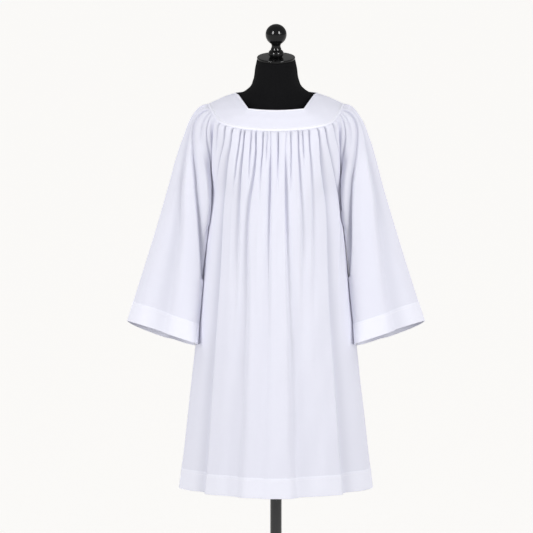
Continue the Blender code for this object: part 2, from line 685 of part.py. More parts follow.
def main():
    for old in list(bpy.data.objects):
        bpy.data.objects.remove(old)
    collection = bpy.data.collections.new("surplice_on_dress_form")
    bpy.context.scene.collection.children.link(collection)
    cotton = material("white_cotton", (0.86, 0.86, 0.93), 0.85)
    jersey = material("black_jersey", (0.012, 0.012, 0.013), 0.9)
    lacquer = material("black_lacquer", (0.008, 0.008, 0.008), 0.2)
    steel = material("black_steel", (0.02, 0.02, 0.02), 0.4, 0.6)
    make_yoke("front", FRONT_SECTIONS, FRONT_NECK, cotton, collection)
    make_yoke("back", BACK_SECTIONS, BACK_NECK, cotton, collection)
    make_body_panel("front", FRONT_SECTIONS, FRONT_FOLDS, cotton, collection)
    make_body_panel("back", BACK_SECTIONS, BACK_FOLDS, cotton, collection)
    make_sleeve("left", cotton, collection)
    make_sleeve("right", cotton, collection)
    make_stand(jersey, lacquer, steel, collection)


main()
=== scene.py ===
import math

import bmesh
import bpy
import numpy as np
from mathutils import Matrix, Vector
from mathutils.bvhtree import BVHTree


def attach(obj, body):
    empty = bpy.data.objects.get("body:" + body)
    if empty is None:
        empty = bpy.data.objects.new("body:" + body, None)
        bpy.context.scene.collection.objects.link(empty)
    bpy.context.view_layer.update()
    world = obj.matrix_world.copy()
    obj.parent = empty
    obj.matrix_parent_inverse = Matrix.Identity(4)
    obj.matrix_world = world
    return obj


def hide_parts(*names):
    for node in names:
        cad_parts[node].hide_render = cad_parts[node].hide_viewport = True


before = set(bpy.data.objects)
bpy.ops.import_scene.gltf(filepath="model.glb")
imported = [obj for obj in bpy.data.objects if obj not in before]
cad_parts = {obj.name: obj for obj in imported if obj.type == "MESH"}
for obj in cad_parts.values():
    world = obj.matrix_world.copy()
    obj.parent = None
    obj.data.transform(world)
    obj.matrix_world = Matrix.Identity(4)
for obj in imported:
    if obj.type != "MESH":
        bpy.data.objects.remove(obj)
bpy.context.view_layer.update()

print("frame loaded with", len(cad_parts), "nodes")

view = {
    "aim": (-0.0233, 0, 1.0704),
    "elevation": 8.3,  # degrees above level
    "distance": 12,
    "lens": 330.8,
    "sensor": 36,
}

lens = bpy.data.cameras.new("camera")
lens.lens = view["lens"]
lens.sensor_width = view["sensor"]
lens.clip_end = 200
camera = bpy.data.objects.new("camera", lens)
bpy.context.scene.collection.objects.link(camera)
rise = math.radians(view["elevation"])
back = Vector((0, -math.cos(rise), math.sin(rise)))
camera.location = Vector(view["aim"]) + back * view["distance"]
camera.rotation_euler = (math.pi / 2 - rise, 0, 0)
bpy.context.scene.camera = camera
bpy.context.scene.view_settings.view_transform = "Standard"
print("camera placed")


def table(columns, *rows):
    # a short table with named columns, as one array for each column
    return dict(zip(columns.split(), np.array(rows, float).T))


def smoothStep(value):
    t = np.clip(value, 0, 1)
    return t * t * (3 - 2 * t)


def bell(distance, width):
    # 1 in the middle, and next to nothing at two widths away
    return np.exp(-((distance / width) ** 2))


def curveThrough(knots, values, at):
    # values at these places on a smooth curve through the knots that never overshoots
    knots = np.array(knots, float)
    values = np.array(values, float).reshape(len(knots), -1)
    slopes = np.gradient(values, knots, axis=0)
    rises = np.diff(values, axis=0)
    slopes[1:-1][rises[:-1] * rises[1:] <= 0] = 0
    at = np.clip(at, knots[0], knots[-1])
    index = np.clip(np.searchsorted(knots, at, side="right") - 1, 0, len(knots) - 2)
    span = (knots[index + 1] - knots[index])[..., None]
    t = (at - knots[index])[..., None] / span
    curve = (
        (2 * t**3 - 3 * t**2 + 1) * values[index]
        + (t**3 - 2 * t**2 + t) * span * slopes[index]
        + (3 * t**2 - 2 * t**3) * values[index + 1]
        + (t**3 - t**2) * span * slopes[index + 1]
    )
    return curve


def readTable(columns, at):
    # every column at these places of the first one
    names = list(columns)
    rows = np.array([columns[name] for name in names[1:]]).T
    curve = curveThrough(columns[names[0]], rows, at)
    return dict(zip(names[1:], np.moveaxis(curve, -1, 0)))


def columnsOf(at, names):
    # some columns of a table as points
    return np.stack([at[name] for name in names.split()], axis=-1)


def pointsAlong(places, run, line):
    # points at these places on a line of points, where run is how far along each of them is
    return np.stack([np.interp(places, run, line[:, axis]) for axis in range(3)], axis=-1)


def ripple(u, v, seed):
    # smooth fixed unevenness, mostly between -1 and 1
    total = 0
    for turn in range(4):
        angle = seed * 1.7 + turn * 2.1
        swing = u * math.cos(angle) + v * math.sin(angle)
        total = total + np.sin(swing * (1 + 0.35 * turn) + seed * 3.1 + turn * 1.3)
    return total / 2.6


# body of the garment: sections of the front and back from the yoke seam to the bottom edge
garment = {
    "cloth": 0.0012,
    "doubleCloth": 0.0016,
    "underarmDown": 0.22,  # share of the way down where the side seam begins
    "sleeveUnderarmDown": 0.36,
    "hemDown": 1.0,  # where the hem band's stitching runs
    "hemEnd": 1.06,
    "cuffEnd": 1.1,
    "sleeveClearance": 0.001,
    "bandProud": 0.0007,
    "bandStand": 0.0002,
    "bandTuck": 0.004,  # share of the way that the cloth reaches under its band
    "seamTuck": 0.0012,
    "yokeTuck": 0.0016,
}
underarmHeight = 1.262
underarmHalfWidth = 0.1545
hemHeight = 0.527
hemHalfWidth = 0.2350


def sideWidth(height):
    share = (underarmHeight - height) / (underarmHeight - hemHeight)
    return underarmHalfWidth + share * (hemHalfWidth - underarmHalfWidth)


bodySections = {
    "front": table(
        "down middleZ edgeZ halfWidth edgeY middleY",
        (0.00, 1.4194, 1.4443, 0.1445, -0.0680, -0.1120),
        (0.06, 1.3700, 1.4020, 0.1470, -0.0580, -0.1270),
        (0.14, 1.3010, 1.3360, 0.1510, -0.0370, -0.1380),
        (0.22, 1.2350, 1.2620, 0.1545, 0, -0.1420),
        (0.40, 1.0830, 1.0910, sideWidth(1.087), 0, -0.1500),
        (0.70, 0.8300, 0.8340, sideWidth(0.832), 0, -0.1660),
        (1.00, 0.5770, 0.5770, sideWidth(0.577), 0, -0.1780),
        (1.06, 0.5270, 0.5270, sideWidth(0.527), 0, -0.1802),
    ),
    "back": table(
        "down middleZ edgeZ halfWidth edgeY middleY",
        (0.00, 1.4400, 1.4585, 0.1440, 0.0620, 0.1060),
        (0.06, 1.3900, 1.4130, 0.1470, 0.0540, 0.1190),
        (0.14, 1.3160, 1.3410, 0.1510, 0.0360, 0.1260),
        (0.22, 1.2450, 1.2620, 0.1545, 0, 0.1290),
        (0.40, 1.0870, 1.0910, sideWidth(1.087), 0, 0.1380),
        (0.70, 0.8310, 0.8340, sideWidth(0.832), 0, 0.1580),
        (1.00, 0.5770, 0.5770, sideWidth(0.577), 0, 0.1760),
        (1.06, 0.5270, 0.5270, sideWidth(0.527), 0, 0.1792),
    ),
}


def bodyBase(side, across, down):
    # across runs from -1 to 1, from the wearer's right to the left
    at = readTable(bodySections[side], down)
    angle = math.pi / 2 * across
    forward = np.cos(angle)
    x = at["halfWidth"] * np.sin(angle)
    y = at["edgeY"] + (at["middleY"] - at["edgeY"]) * forward
    z = at["edgeZ"] + (at["middleZ"] - at["edgeZ"]) * forward
    return np.stack([x, y, z], axis=-1)


# sleeves: the top line is the shoulder to the outer corner of the cuff, and the bulges are
# how far the front and back stand out from the plane of the two seams
sleeveSections = table(
    "down topX topY topZ frontX frontY frontZ backX backY backZ ring",
    (0.00, 0.1640, 0, 1.4710, 0.004, 0, 0.0045, 0.004, 0, 0.003, 0),
    (0.06, 0.1850, 0, 1.4590, 0.006, -0.006, 0.006, 0.006, 0.006, 0.005, 0.2),
    (0.12, 0.2035, 0, 1.4330, 0.006, -0.016, 0.007, 0.006, 0.020, 0.006, 0.3),
    (0.24, 0.2275, -0.001, 1.3700, 0.009, -0.036, 0.004, 0.014, 0.038, 0.003, 0.55),
    (0.36, 0.2475, -0.003, 1.3020, -0.002, -0.060, 0, 0.006, 0.056, 0, 1),
    (0.52, 0.2705, -0.006, 1.2250, -0.008, -0.060, 0.001, -0.008, 0.058, -0.003, 1),
    (0.68, 0.2945, -0.010, 1.1460, -0.009, -0.058, 0.002, -0.011, 0.060, -0.006, 1),
    (1.00, 0.3450, -0.018, 0.9850, -0.009, -0.050, 0.005, -0.008, 0.060, -0.012, 1),
)
underarmLine = table(
    "down x y z",
    (0.36, 0.1545, 0, 1.262),
    (0.52, 0.1668, 0, 1.180),
    (0.68, 0.1765, -0.006, 1.098),
    (1.00, 0.1945, -0.032, 0.935),
)
cuffEdge = {
    "top": (0.3605, -0.022, 0.9375),
    "under": (0.1990, -0.047, 0.8860),
    "frontBulge": (-0.009, -0.048, 0.006),
    "backBulge": (-0.004, 0.058, -0.020),
}
# how square the tube is beside the body and on the outside: 2 would be round
sleeveSquare = {"front": (4.5, 3.2), "back": (3.2, 2.4)}


def sleeveSeam(side, down):
    # the raglan seam along the body's edge down to the underarm, then the sleeve's own seam
    underarm = garment["sleeveUnderarmDown"]
    bodyDown = np.clip(down / underarm, 0, 1) * garment["underarmDown"]
    onBody = bodyBase(side, np.ones_like(down), bodyDown)
    own = columnsOf(readTable(underarmLine, np.maximum(down, underarm)), "x y z")
    seam = np.where((down <= underarm)[..., None], onBody, own)
    return seam + np.array([garment["sleeveClearance"], 0, 0])


def roundedSection(across, ring):
    # how far each place is from the seam to the top line, and how far it stands out
    angle = math.pi * (1 - abs(2 * across - 1))
    front, back = sleeveSquare["front"], sleeveSquare["back"]
    inside = angle < math.pi / 2
    square = np.where(across <= 0.5, np.where(inside, *front), np.where(inside, *back))
    square = 2 + (square - 2) * ring
    radius = (abs(np.cos(angle)) ** square + abs(np.sin(angle)) ** square) ** (-1 / square)
    return (1 - radius * np.cos(angle)) / 2, radius * np.sin(angle)


def sleeveTube(across, down):
    at = readTable(sleeveSections, down)
    inFront = (across <= 0.5)[..., None]
    turn = 1 - abs(2 * across - 1)
    seam = np.where(inFront, sleeveSeam("front", down), sleeveSeam("back", down))
    top = columnsOf(at, "topX topY topZ")
    ring = at["ring"]
    reach, swell = roundedSection(across, ring)
    reach = (1 - ring) * turn + ring * reach
    bulge = np.where(inFront, columnsOf(at, "frontX frontY frontZ"), columnsOf(at, "backX backY backZ"))
    return seam + (top - seam) * reach[..., None] + bulge * swell[..., None]


def sleeveBase(across, down):
    # the wearer's left sleeve: across is 0 at the front seam, 0.5 on top and 1 at the back seam
    tube = sleeveTube(across, np.minimum(down, 1))
    inFront = (across <= 0.5)[..., None]
    bulge = np.where(inFront, cuffEdge["frontBulge"], cuffEdge["backBulge"])
    reach, swell = (value[..., None] for value in roundedSection(across, 1))
    edge = np.array(cuffEdge["under"]) * (1 - reach) + np.array(cuffEdge["top"]) * reach + bulge * swell
    share = (np.maximum(down - 1, 0) / (garment["cuffEnd"] - 1))[..., None]
    return tube + (edge - tube) * share


def outwards(base, across, down, end):
    # unit normals of a base surface, away from the wearer
    step = 1e-4
    low, high = np.maximum(down - step, 0), np.minimum(down + step, end)
    along = base(across + step, down) - base(across - step, down)
    below = base(across, high) - base(across, low)
    normal = np.cross(below, along)
    return normal / np.linalg.norm(normal, axis=-1, keepdims=True)


# folds: places are millimetres to the wearer's left of the middle at these shares of the way
# down, and each depth is the fold's depth there. A fold leans its steep side to the centre
bodyLevels = {"yoke": 0, "pleat": 0.05, "bust": 0.11, "chest": 0.20, "waist": 0.50, "hem": 1.06}
bodyFolds = {
    "front": table(
        "yoke pleat bust chest waist hem dPleat dBust dChest dWaist dHem width hemWidth lean",
        (-135, -137, -140, -146, -156, -180, 5.0, 1.5, 0, 0, 0, 2.8, 20, 0.4),
        (-120, -122, -131, -140, -152, -178, 7.0, 6.5, 1.0, 0, 0, 3.2, 20, 0.5),
        (-101, -104, -111, -117, -137, -174, 8.5, 11.0, 13.0, 9.5, 8.5, 8.0, 16, 0.65),
        (-83, -87, -93, -99, -110, -130, 6.5, 5.5, 0.5, 0, 0, 2.8, 20, 0.4),
        (-73, -75, -79, -83, -98, -120, 8.0, 8.5, 8.0, 1.6, 0.8, 4.4, 24, 0.5),
        (-59, -61, -63, -66, -76, -92, 5.5, 3.5, 0, 0, 0, 2.4, 20, 0.3),
        (-46, -46, -50, -60, -70, -92, 8.5, 7.5, 7.5, 6.5, 5.5, 4.8, 24, 0.55),
        (-29, -30, -34, -39, -47, -58, 8.0, 5.5, 1.2, 0, 0, 3.2, 20, 0.45),
        (-20, -22, -23, -24, -30, -50, 4.5, 0.5, 0, 0, 0, 2.2, 20, 0.3),
        (-12, -12, -12, -13, -19, -36, 3.5, 8.0, 9.5, 5.2, 1.5, 4.8, 22, 0.5),
        (5, 5, 4.5, 3, 2, 2, 8.0, 4.5, 0.2, 0, 0, 3.0, 20, 0.1),
        (24, 22.5, 21.5, 22, 33, 52, 3.0, 7.2, 10.0, 7.0, 7.0, 4.6, 28, -0.6),
        (35, 35, 34, 34, 40, 52, 6.5, 5.0, 0.5, 0, 0, 2.6, 20, -0.3),
        (51, 51, 54, 58, 64, 74, 7.0, 7.5, 6.5, 2.0, 0.6, 4.8, 26, -0.45),
        (62, 63, 66, 70, 76, 86, 5.5, 1.0, 0, 0, 0, 2.4, 20, -0.3),
        (76, 77, 81, 84, 90, 108, 7.0, 6.5, 5.5, 1.8, 0.6, 4.2, 24, -0.5),
        (97, 100, 103, 112, 127, 163, 8.5, 11.0, 13.0, 9.0, 8.5, 8.0, 17, -0.65),
        (115, 120, 129, 141, 152, 178, 8.0, 8.5, 8.0, 1.0, 0.5, 4.2, 22, -0.5),
        (134, 138, 146, 150, 160, 185, 5.5, 4.0, 1.0, 0, 0, 2.8, 20, -0.4),
    ),
    "back": table(
        "yoke pleat bust chest waist hem dPleat dBust dChest dWaist dHem width hemWidth lean",
        (-133, -136, -139, -145, -158, -184, 5.5, 4.0, 3.0, 0, 0, 3.4, 20, 0.4),
        (-114, -117, -121, -127, -148, -190, 7.5, 7.0, 8.5, 8.0, 8.8, 5.0, 31, 0.6),
        (-99, -101, -104, -109, -122, -150, 5.5, 3.0, 1.0, 0, 0, 2.8, 20, 0.4),
        (-80, -84, -90, -99, -122, -158, 8.0, 8.5, 10.0, 5.8, 2.8, 5.0, 31, 0.5),
        (-62, -65, -69, -76, -92, -112, 5.5, 4.5, 1.6, 0, 0, 3.2, 22, 0.4),
        (-43, -46, -52, -62, -84, -108, 8.0, 8.5, 9.5, 9.8, 9.4, 5.2, 30, 0.5),
        (-29, -31, -34, -42, -52, -66, 5.5, 2.5, 0.8, 0, 0, 2.8, 20, 0.3),
        (-14, -16, -18, -22, -33, -43, 8.0, 8.5, 10.0, 8.6, 7.2, 4.8, 29, 0.4),
        (1, 0, -1, -2, -4, -8, 5.0, 1.0, 0, 0, 0, 2.4, 20, 0.2),
        (11, 12, 13, 15, 19, 26, 7.0, 7.0, 6.0, 1.6, 0.6, 4.0, 22, 0),
        (30, 34, 39, 46, 61, 82, 8.0, 8.5, 10.0, 10.3, 9.9, 5.2, 31, -0.5),
        (47, 50, 55, 64, 79, 100, 5.5, 4.0, 1.2, 0, 0, 3.0, 20, -0.3),
        (66, 70, 76, 87, 110, 142, 7.5, 8.0, 8.5, 4.0, 2.0, 4.8, 31, -0.5),
        (81, 84, 89, 98, 116, 150, 4.5, 2.0, 0, 0, 0, 2.6, 20, -0.3),
        (98, 101, 108, 119, 145, 186, 8.0, 8.5, 10.0, 9.2, 9.4, 5.2, 31, -0.6),
        (116, 119, 124, 132, 150, 180, 5.5, 4.0, 1.4, 0, 0, 3.0, 20, -0.4),
        (133, 137, 142, 149, 165, 196, 6.0, 5.0, 4.0, 1.0, 0.5, 3.8, 22, -0.4),
    ),
}
# the same for the sleeves, where places are millimetres sideways from the top line, negative in front
sleeveLevels = {"yoke": 0, "arm": 0.12, "underarm": 0.36, "elbow": 0.68, "cuff": 1.1}
sleeveFolds = {
    "left": table(
        "yoke arm underarm elbow cuff dArm dUnderarm dElbow dCuff width hemWidth lean",
        (-10.5, -36, -87, -112, -140, 3.4, 6.0, 0, 0, 2.8, 14, 0.4),
        (-8, -26, -78, -112, -140, 4.0, -7.0, 0, 0, 6.0, 14, 0.2),
        (-6, -12, -62, -112, -175, 6.8, 8.8, 12.0, 0, 6.4, 8, 0.5),
        (-3, -5, -15, -38, -73, 6.5, 7.5, 6.5, 6.0, 6.4, 22, -0.45),
        (-1, 1, 3, 4, 2, 4.0, 0, 0, 0, 4.0, 20, 0.3),
        (2, 6, 18, 34, 50, 5.0, 1.2, 0, 0, 3.4, 20, -0.2),
        (5, 14, 38, 64, 94, 6.0, 6.5, 6.5, 6.0, 6.4, 26, -0.4),
        (8, 22, 66, 110, 140, 8.0, 13.0, 11.0, 0.5, 6.0, 18, -0.7),
        (12, 36, 78, 112, 145, 6.5, 2.0, 0, 0, 3.2, 16, -0.3),
        (16, 48, 92, 114, 145, 6.0, 10.0, 0, 0, 3.4, 16, -0.4),
    ),
    "right": table(
        "yoke arm underarm elbow cuff dArm dUnderarm dElbow dCuff width hemWidth lean",
        (-10.5, -36, -87, -112, -140, 3.4, 6.0, 0, 0, 2.8, 14, 0.4),
        (-7.5, -26, -76, -112, -140, 4.0, -8.0, 0, 0, 6.0, 14, 0.2),
        (-5.5, -9, -51, -110, -175, 6.8, 8.5, 12.0, 0, 6.4, 8, 0.5),
        (-2.5, -5, -20, -55, -86, 6.5, 8.0, 6.5, 4.5, 6.4, 22, -0.45),
        (-0.5, 0, 1, 3, 0, 4.0, 0, 0, 0, 4.0, 20, 0.3),
        (2.5, 8, 18, 34, 54, 4.8, 1.0, 0, 0, 3.4, 20, -0.2),
        (5, 15, 42, 68, 98, 6.0, 6.0, 6.0, 6.5, 6.4, 26, -0.4),
        (9, 26, 70, 112, 142, 8.0, 12.0, 10.0, 0.5, 6.0, 18, -0.7),
        (13, 38, 82, 114, 145, 6.0, 1.6, 0, 0, 3.2, 16, -0.3),
        (16.5, 50, 93, 116, 145, 6.0, 10.0, 0, 0, 3.4, 16, -0.4),
    ),
}


# sizes are metres, and places across a fold are in widths of the fold
fold = {
    "wander": 0.0012,  # how far a fold strays sideways
    "depthWander": 0.16,
    "topWidth": 0.0023,
    "topSpread": 0.0010,
    "squeeze": 0.2,  # of both sides with the lean, and then of the steep side alone
    "steep": 0.9,
    "crestAt": 1.9,
    "crest": 0.22,
    "overAt": 1.15,
    "overWidth": 0.75,
    # painted shade in the folds: where it sits across a valley and how wide it is, how much more it darkens
    # folds at the sides and right under the yoke, and the fold depth at which it is full
    "shadeAt": 0.45,
    "shadeWidth": 1.05,
    "sidePaintedShade": 0.9,
    "topPaintedShade": 0.6,
    "paintedShadeDepth": 0.010,
    "hemRise": 0.4,
    "puckerPitch": 0.0062,
    "pucker": 0.0007,
    "hemPuckerPitch": 0.0075,
    "hemPucker": 0.00025,
    "soft": 0.0010,
    "calmFrom": 0.002,
    "openSeam": 0.0035,
}


def valley(distance, lean):
    # across a fold: sharp at the bottom, steeper on one side, with a soft crest beside it
    steepSide = np.tanh(2 * distance * np.sign(lean))
    distance = distance * (1 + abs(lean) * (fold["squeeze"] + fold["steep"] * steepSide))
    crest = bell(distance - fold["crestAt"] * np.sign(lean), 1) * abs(lean)
    return 1 / (1 + distance**2) ** 1.5 - fold["crest"] * crest


def foldedHeights(cloth, flat, down):
    # how far the cloth stands out from its base surface, in metres, and the painted shade that darkens its
    # colour in the folds
    steps = np.linalg.norm(np.diff(flat, axis=1), axis=2)
    run = np.concatenate([np.zeros((len(flat), 1)), np.cumsum(steps, axis=1)], axis=1)
    measure = cloth["measure"](flat)
    folds, seed = cloth["folds"], cloth["seed"]
    marks, levels = list(cloth["levels"]), list(cloth["levels"].values())
    rowDown = down[:, 0]
    below = down * cloth["length"]
    places = np.array([folds[mark] for mark in marks])
    depths = np.array([folds["d" + mark.capitalize()] for mark in (marks[1], *marks[1:])])
    place = curveThrough(levels, places, rowDown)
    depth = curveThrough(levels, depths, rowDown) * 0.001
    growth = smoothStep((rowDown - 0.1) / 0.95)
    stand = readTable(cloth["lift"], rowDown)
    lift, under = stand["lift"], stand["under"]
    depth = np.minimum(depth, (lift * 1.15 + under)[:, None])
    sunk, shift, shade, rise = (np.zeros_like(run) for _ in range(4))
    for index in range(len(folds["yoke"])):
        line = [np.interp(place[row, index], measure[row], run[row]) for row in range(len(run))]
        line = np.array(line) + fold["wander"] * ripple(rowDown * 9, index * 2.0, seed + index)
        wider = folds["width"][index] * 0.001 - fold["topWidth"]
        narrow = fold["topWidth"] + wider * smoothStep(rowDown / 0.2)
        narrow = narrow + fold["topSpread"] * bell(rowDown, 0.02)
        width = narrow + (folds["hemWidth"][index] * 0.001 - narrow) * growth
        swing = 1 + fold["depthWander"] * ripple(rowDown * 7, index * 1.3, seed + 20 + index)
        apart = (run - line[:, None]) / width[:, None]
        lean = folds["lean"][index] * (1 + 0.5 * growth)[:, None]
        sunk += (depth[:, index] * swing)[:, None] * valley(apart, lean)
        # the crest on the steep side leans over the valley
        over = bell(apart - fold["overAt"] * np.sign(lean), fold["overWidth"]) * lean
        shift -= over * (depth[:, index] * cloth["overhang"])[:, None]
        # painted shade: the cloth's colour is darkened in and beside each fold's valley, more for deeper
        # folds, for folds towards the sides and right under the yoke
        inside = bell(apart + fold["shadeAt"] * np.sign(lean), fold["shadeWidth"])
        sideways = abs(place[:, index]) / abs(measure).max(axis=1)
        paintedShadeStrength = cloth["paintedShadeStrength"] + fold["sidePaintedShade"] * sideways**2 * (1 - 0.6 * growth)
        paintedShadeStrength = paintedShadeStrength + fold["topPaintedShade"] * bell(rowDown, 0.03)
        shade += inside * (smoothStep(depth[:, index] / fold["paintedShadeDepth"]) * paintedShadeStrength)[:, None]
        # the cloth behind a fold's crest hangs a little higher at the hem
        behind = apart * np.sign(lean)
        tail = 0.5 * (1 - np.tanh(3 * behind)) * bell(behind, 3.5)
        rise += tail * (depth[:, index] * growth**2 * fold["hemRise"])[:, None]
    # small puckers right under the yoke, and a slow unevenness everywhere
    turns = 2 * math.pi / fold["puckerPitch"]
    puckers = np.sin(run * turns + 2.2 * ripple(run * 60, below * 40, seed))
    puckers = puckers * fold["pucker"] * bell(below, 0.012) * smoothStep(below / 0.003)
    slow = ripple(run * 21, below * 5, seed + 5) * 0.0009 + ripple(run * 47, below * 9, seed + 8) * 0.0004
    height = lift[:, None] * (1 + 0.10 * ripple(run * 70, below * 12, seed + 3)) - sunk + puckers
    height = height + slow * smoothStep(below / 0.05)
    soft = fold["soft"]
    height = np.logaddexp(0, (height + under[:, None]) / soft) * soft - soft * 0.6 - under[:, None]
    # calm and tucked in beside the seams, and tucked under the yoke
    fromEdge = np.minimum(run, run[:, -1:] - run)
    calm = readTable(cloth["calm"], rowDown)
    easing = smoothStep((fromEdge - fold["calmFrom"]) / calm["width"][:, None])
    openSeam = 1 - smoothStep((fromEdge - 0.0002) / fold["openSeam"])
    height = height * easing - garment["seamTuck"] * openSeam * calm["tuck"][:, None]
    height = height - garment["yokeTuck"] * (1 - smoothStep(below / 0.004))
    # small puckers along the hem's stitching
    fromHem = (down - 1) * cloth["length"]
    turns = 2 * math.pi / fold["hemPuckerPitch"]
    puckers = np.sin(run * turns + 1.8 * ripple(run * 45, below * 10, seed + 2))
    height = height + puckers * fold["hemPucker"] * bell(fromHem, 0.005)
    return height, shift * easing, rise, np.clip(shade * easing, 0, 1)


def raisedGrid(cloth, columns, rows):
    across, down = np.meshgrid(columns, rows)
    flat = cloth["base"](across, down)
    height, shift, rise, shade = foldedHeights(cloth, flat, down)
    normal = outwards(cloth["base"], across, down, rows[-1]) * cloth["side"]
    along = np.gradient(flat, axis=1)
    along /= np.linalg.norm(along, axis=-1, keepdims=True)
    up = rise[..., None] * (0, 0, 1)
    return flat + normal * height[..., None] + along * shift[..., None] + up, normal, shade


def rowsDown(first, last, count, crowd):
    # rows that crowd together near the gathers
    t = np.linspace(0, 1, count)
    return first + (last - first) * (t * (1 - crowd) + crowd * t**3)


class Wire:
    # one output socket, on which Python's operators add Math nodes
    def __init__(self, tree, socket):
        self.tree = tree
        self.socket = socket

    def calc(self, operation, *others):
        node = self.tree.nodes.new("ShaderNodeMath")
        node.operation = operation
        for place, value in enumerate((self, *others)):
            if isinstance(value, Wire):
                self.tree.links.new(value.socket, node.inputs[place])
            else:
                node.inputs[place].default_value = value
        return Wire(self.tree, node.outputs[0])

    def __add__(self, other):
        return self.calc("ADD", other)

    def __mul__(self, other):
        return self.calc("MULTIPLY", other)

    def __sub__(self, other):
        return self.calc("SUBTRACT", other)


class Finish:
    # a node material. Sockets that are the same all over are given by name
    def __init__(self, name, colour, **sockets):
        self.material = bpy.data.materials.new(name)
        self.material.use_nodes = True
        self.tree = self.material.node_tree
        self.shader = self.tree.nodes["Principled BSDF"]
        self.shader.inputs["Base Color"].default_value = (*colour, 1)
        self.material.diffuse_color = (*colour, 1)
        for socket, value in sockets.items():
            self.shader.inputs[socket.replace("_", " ")].default_value = value

    def add(self, kind, settings=None, values=None, output=0):
        node = self.tree.nodes.new("ShaderNode" + kind)
        for name, value in (settings or {}).items():
            if name == "stops":
                ramp = node.color_ramp
                while len(ramp.elements) < len(value):
                    ramp.elements.new(0.5)
                for element, (place, colour) in zip(ramp.elements, value):
                    element.position = place
                    element.color = colour
            else:
                setattr(node, name, value)
        for name, value in (values or {}).items():
            if isinstance(value, Wire):
                self.tree.links.new(value.socket, node.inputs[name])
            else:
                node.inputs[name].default_value = value
        return Wire(self.tree, node.outputs[output])

    def feed(self, socket, wire):
        self.tree.links.new(wire.socket, self.shader.inputs[socket])

    def tint(self, first, second, factor):
        # from one colour, fixed or changing, to a fixed one
        first = first if isinstance(first, Wire) else (*first, 1)
        values = {"Factor": factor, 6: first, 7: (*second, 1)}
        return self.add("Mix", {"data_type": "RGBA"}, values, output=2)

    def bump(self, height, distance, strength=1.0, under=None):
        values = {"Height": height, "Distance": distance, "Strength": strength}
        if under is not None:
            values["Normal"] = under
        return self.add("Bump", None, values)

    def noise(self, place, scale, detail, stretch=None, **sockets):
        if stretch:
            place = self.add("VectorMath", {"operation": "MULTIPLY"}, {0: place, 1: stretch})
        return self.add("TexNoise", None, {"Vector": place, "Scale": scale, "Detail": detail, **sockets})

    def objectPlace(self):
        return self.add("TexCoord", output=3)

    def clothPlace(self):
        # metres on the cloth: both together, then across it and along it
        both = self.add("UVMap", {"uv_map": "clothMetres"})
        across = self.add("SeparateXYZ", None, {"Vector": both})
        return both, across, Wire(self.tree, across.socket.node.outputs[1])


cotton = {
    "light": (0.80, 0.803, 0.895),
    "shade": (0.77, 0.772, 0.872),
    "thread": 0.00052,  # metres between threads
    "weaveDepth": 0.00005,
    "slubDepth": 0.00006,
    "creaseDepth": 0.0009,
    "roughness": 0.82,
    "specular": 0.2,
    "sheen": 0.02,
    "warpSlubs": (900, 14, 1),  # how often the slubs repeat across and along the cloth
    "weftSlubs": (11, 850, 1),
    # painted shade, a darker colour mixed into the cloth in the depths of the folds
    "paintedFoldShade": (0.58, 0.585, 0.67),  # in the depths of the folds
    # painted highlight, a lighter colour mixed in along the turned edges of the yoke
    "rim": (0.90, 0.90, 0.96),  # along the turned edges of the yoke
    "bandLight": (0.855, 0.858, 0.945),
    "bandShade": (0.83, 0.833, 0.925),
    "yokeShade": (0.78, 0.783, 0.88),
}


def cottonFinish(name, light, shade, creases, paintedLightColour):
    made = Finish(
        name,
        light,
        Roughness=cotton["roughness"],
        Sheen_Weight=cotton["sheen"],
        Sheen_Roughness=0.4,
        Specular_IOR_Level=cotton["specular"],
    )
    both, across, along = made.clothPlace()
    turns = 2 * math.pi / cotton["thread"]
    plainWeave = (across * turns).calc("SINE") * (along * turns).calc("SINE")
    warpSlubs = made.noise(both, 1, 2, cotton["warpSlubs"])
    weftSlubs = made.noise(both, 1, 2, cotton["weftSlubs"])
    threads = (warpSlubs + weftSlubs) * 0.5
    place = made.objectPlace()
    cloudy = made.noise(place, 9, 3, Roughness=0.55)
    crease = made.noise(place, 17, 2, (1, 1, 0.45), Roughness=0.4, Distortion=0.6)
    blend = (threads * 0.55 + cloudy * 0.45 - 0.25) * 2
    # the marks attribute mixes in a painted colour: painted shade in the folds' valleys, and on the yoke a
    # painted highlight along its edges
    marks = made.add("Attribute", {"attribute_name": "marks"}, output=2)
    made.feed("Base Color", made.tint(made.tint(shade, light, blend), paintedLightColour, marks))
    made.feed("Roughness", threads * 0.12 + (cotton["roughness"] - 0.06))
    rough = made.bump(crease, cotton["creaseDepth"] * creases)
    slubbed = made.bump(threads, cotton["slubDepth"], 0.8, rough)
    made.feed("Normal", made.bump(plainWeave, cotton["weaveDepth"], 0.5, slubbed))
    return made.material


jersey = {
    "black": (0.0055, 0.0055, 0.006),
    "worn": (0.0105, 0.0105, 0.0115),
    "wale": 0.0011,
    "depth": 0.00018,
    "specular": 0.05,
}


def jerseyFinish():
    made = Finish(
        "blackJersey",
        jersey["black"],
        Roughness=0.9,
        Sheen_Weight=0.01,
        Sheen_Roughness=0.5,
        Specular_IOR_Level=jersey["specular"],
    )
    _, across, along = made.clothPlace()
    turns = 2 * math.pi / jersey["wale"]
    wales = (across * turns).calc("SINE")
    courses = (along * (turns * 1.35) + wales * 0.8).calc("SINE")
    place = made.objectPlace()
    cloudy = made.noise(place, 14, 4)
    fluff = made.noise(place, 900, 1)
    made.feed("Base Color", made.tint(jersey["black"], jersey["worn"], cloudy * 0.6 + fluff * 0.4))
    made.feed("Roughness", cloudy * 0.12 + 0.82)
    fuzz = made.bump(fluff, 0.0001, 0.6)
    made.feed("Normal", made.bump(wales * 0.7 + courses * 0.3, jersey["depth"], 0.6, fuzz))
    return made.material


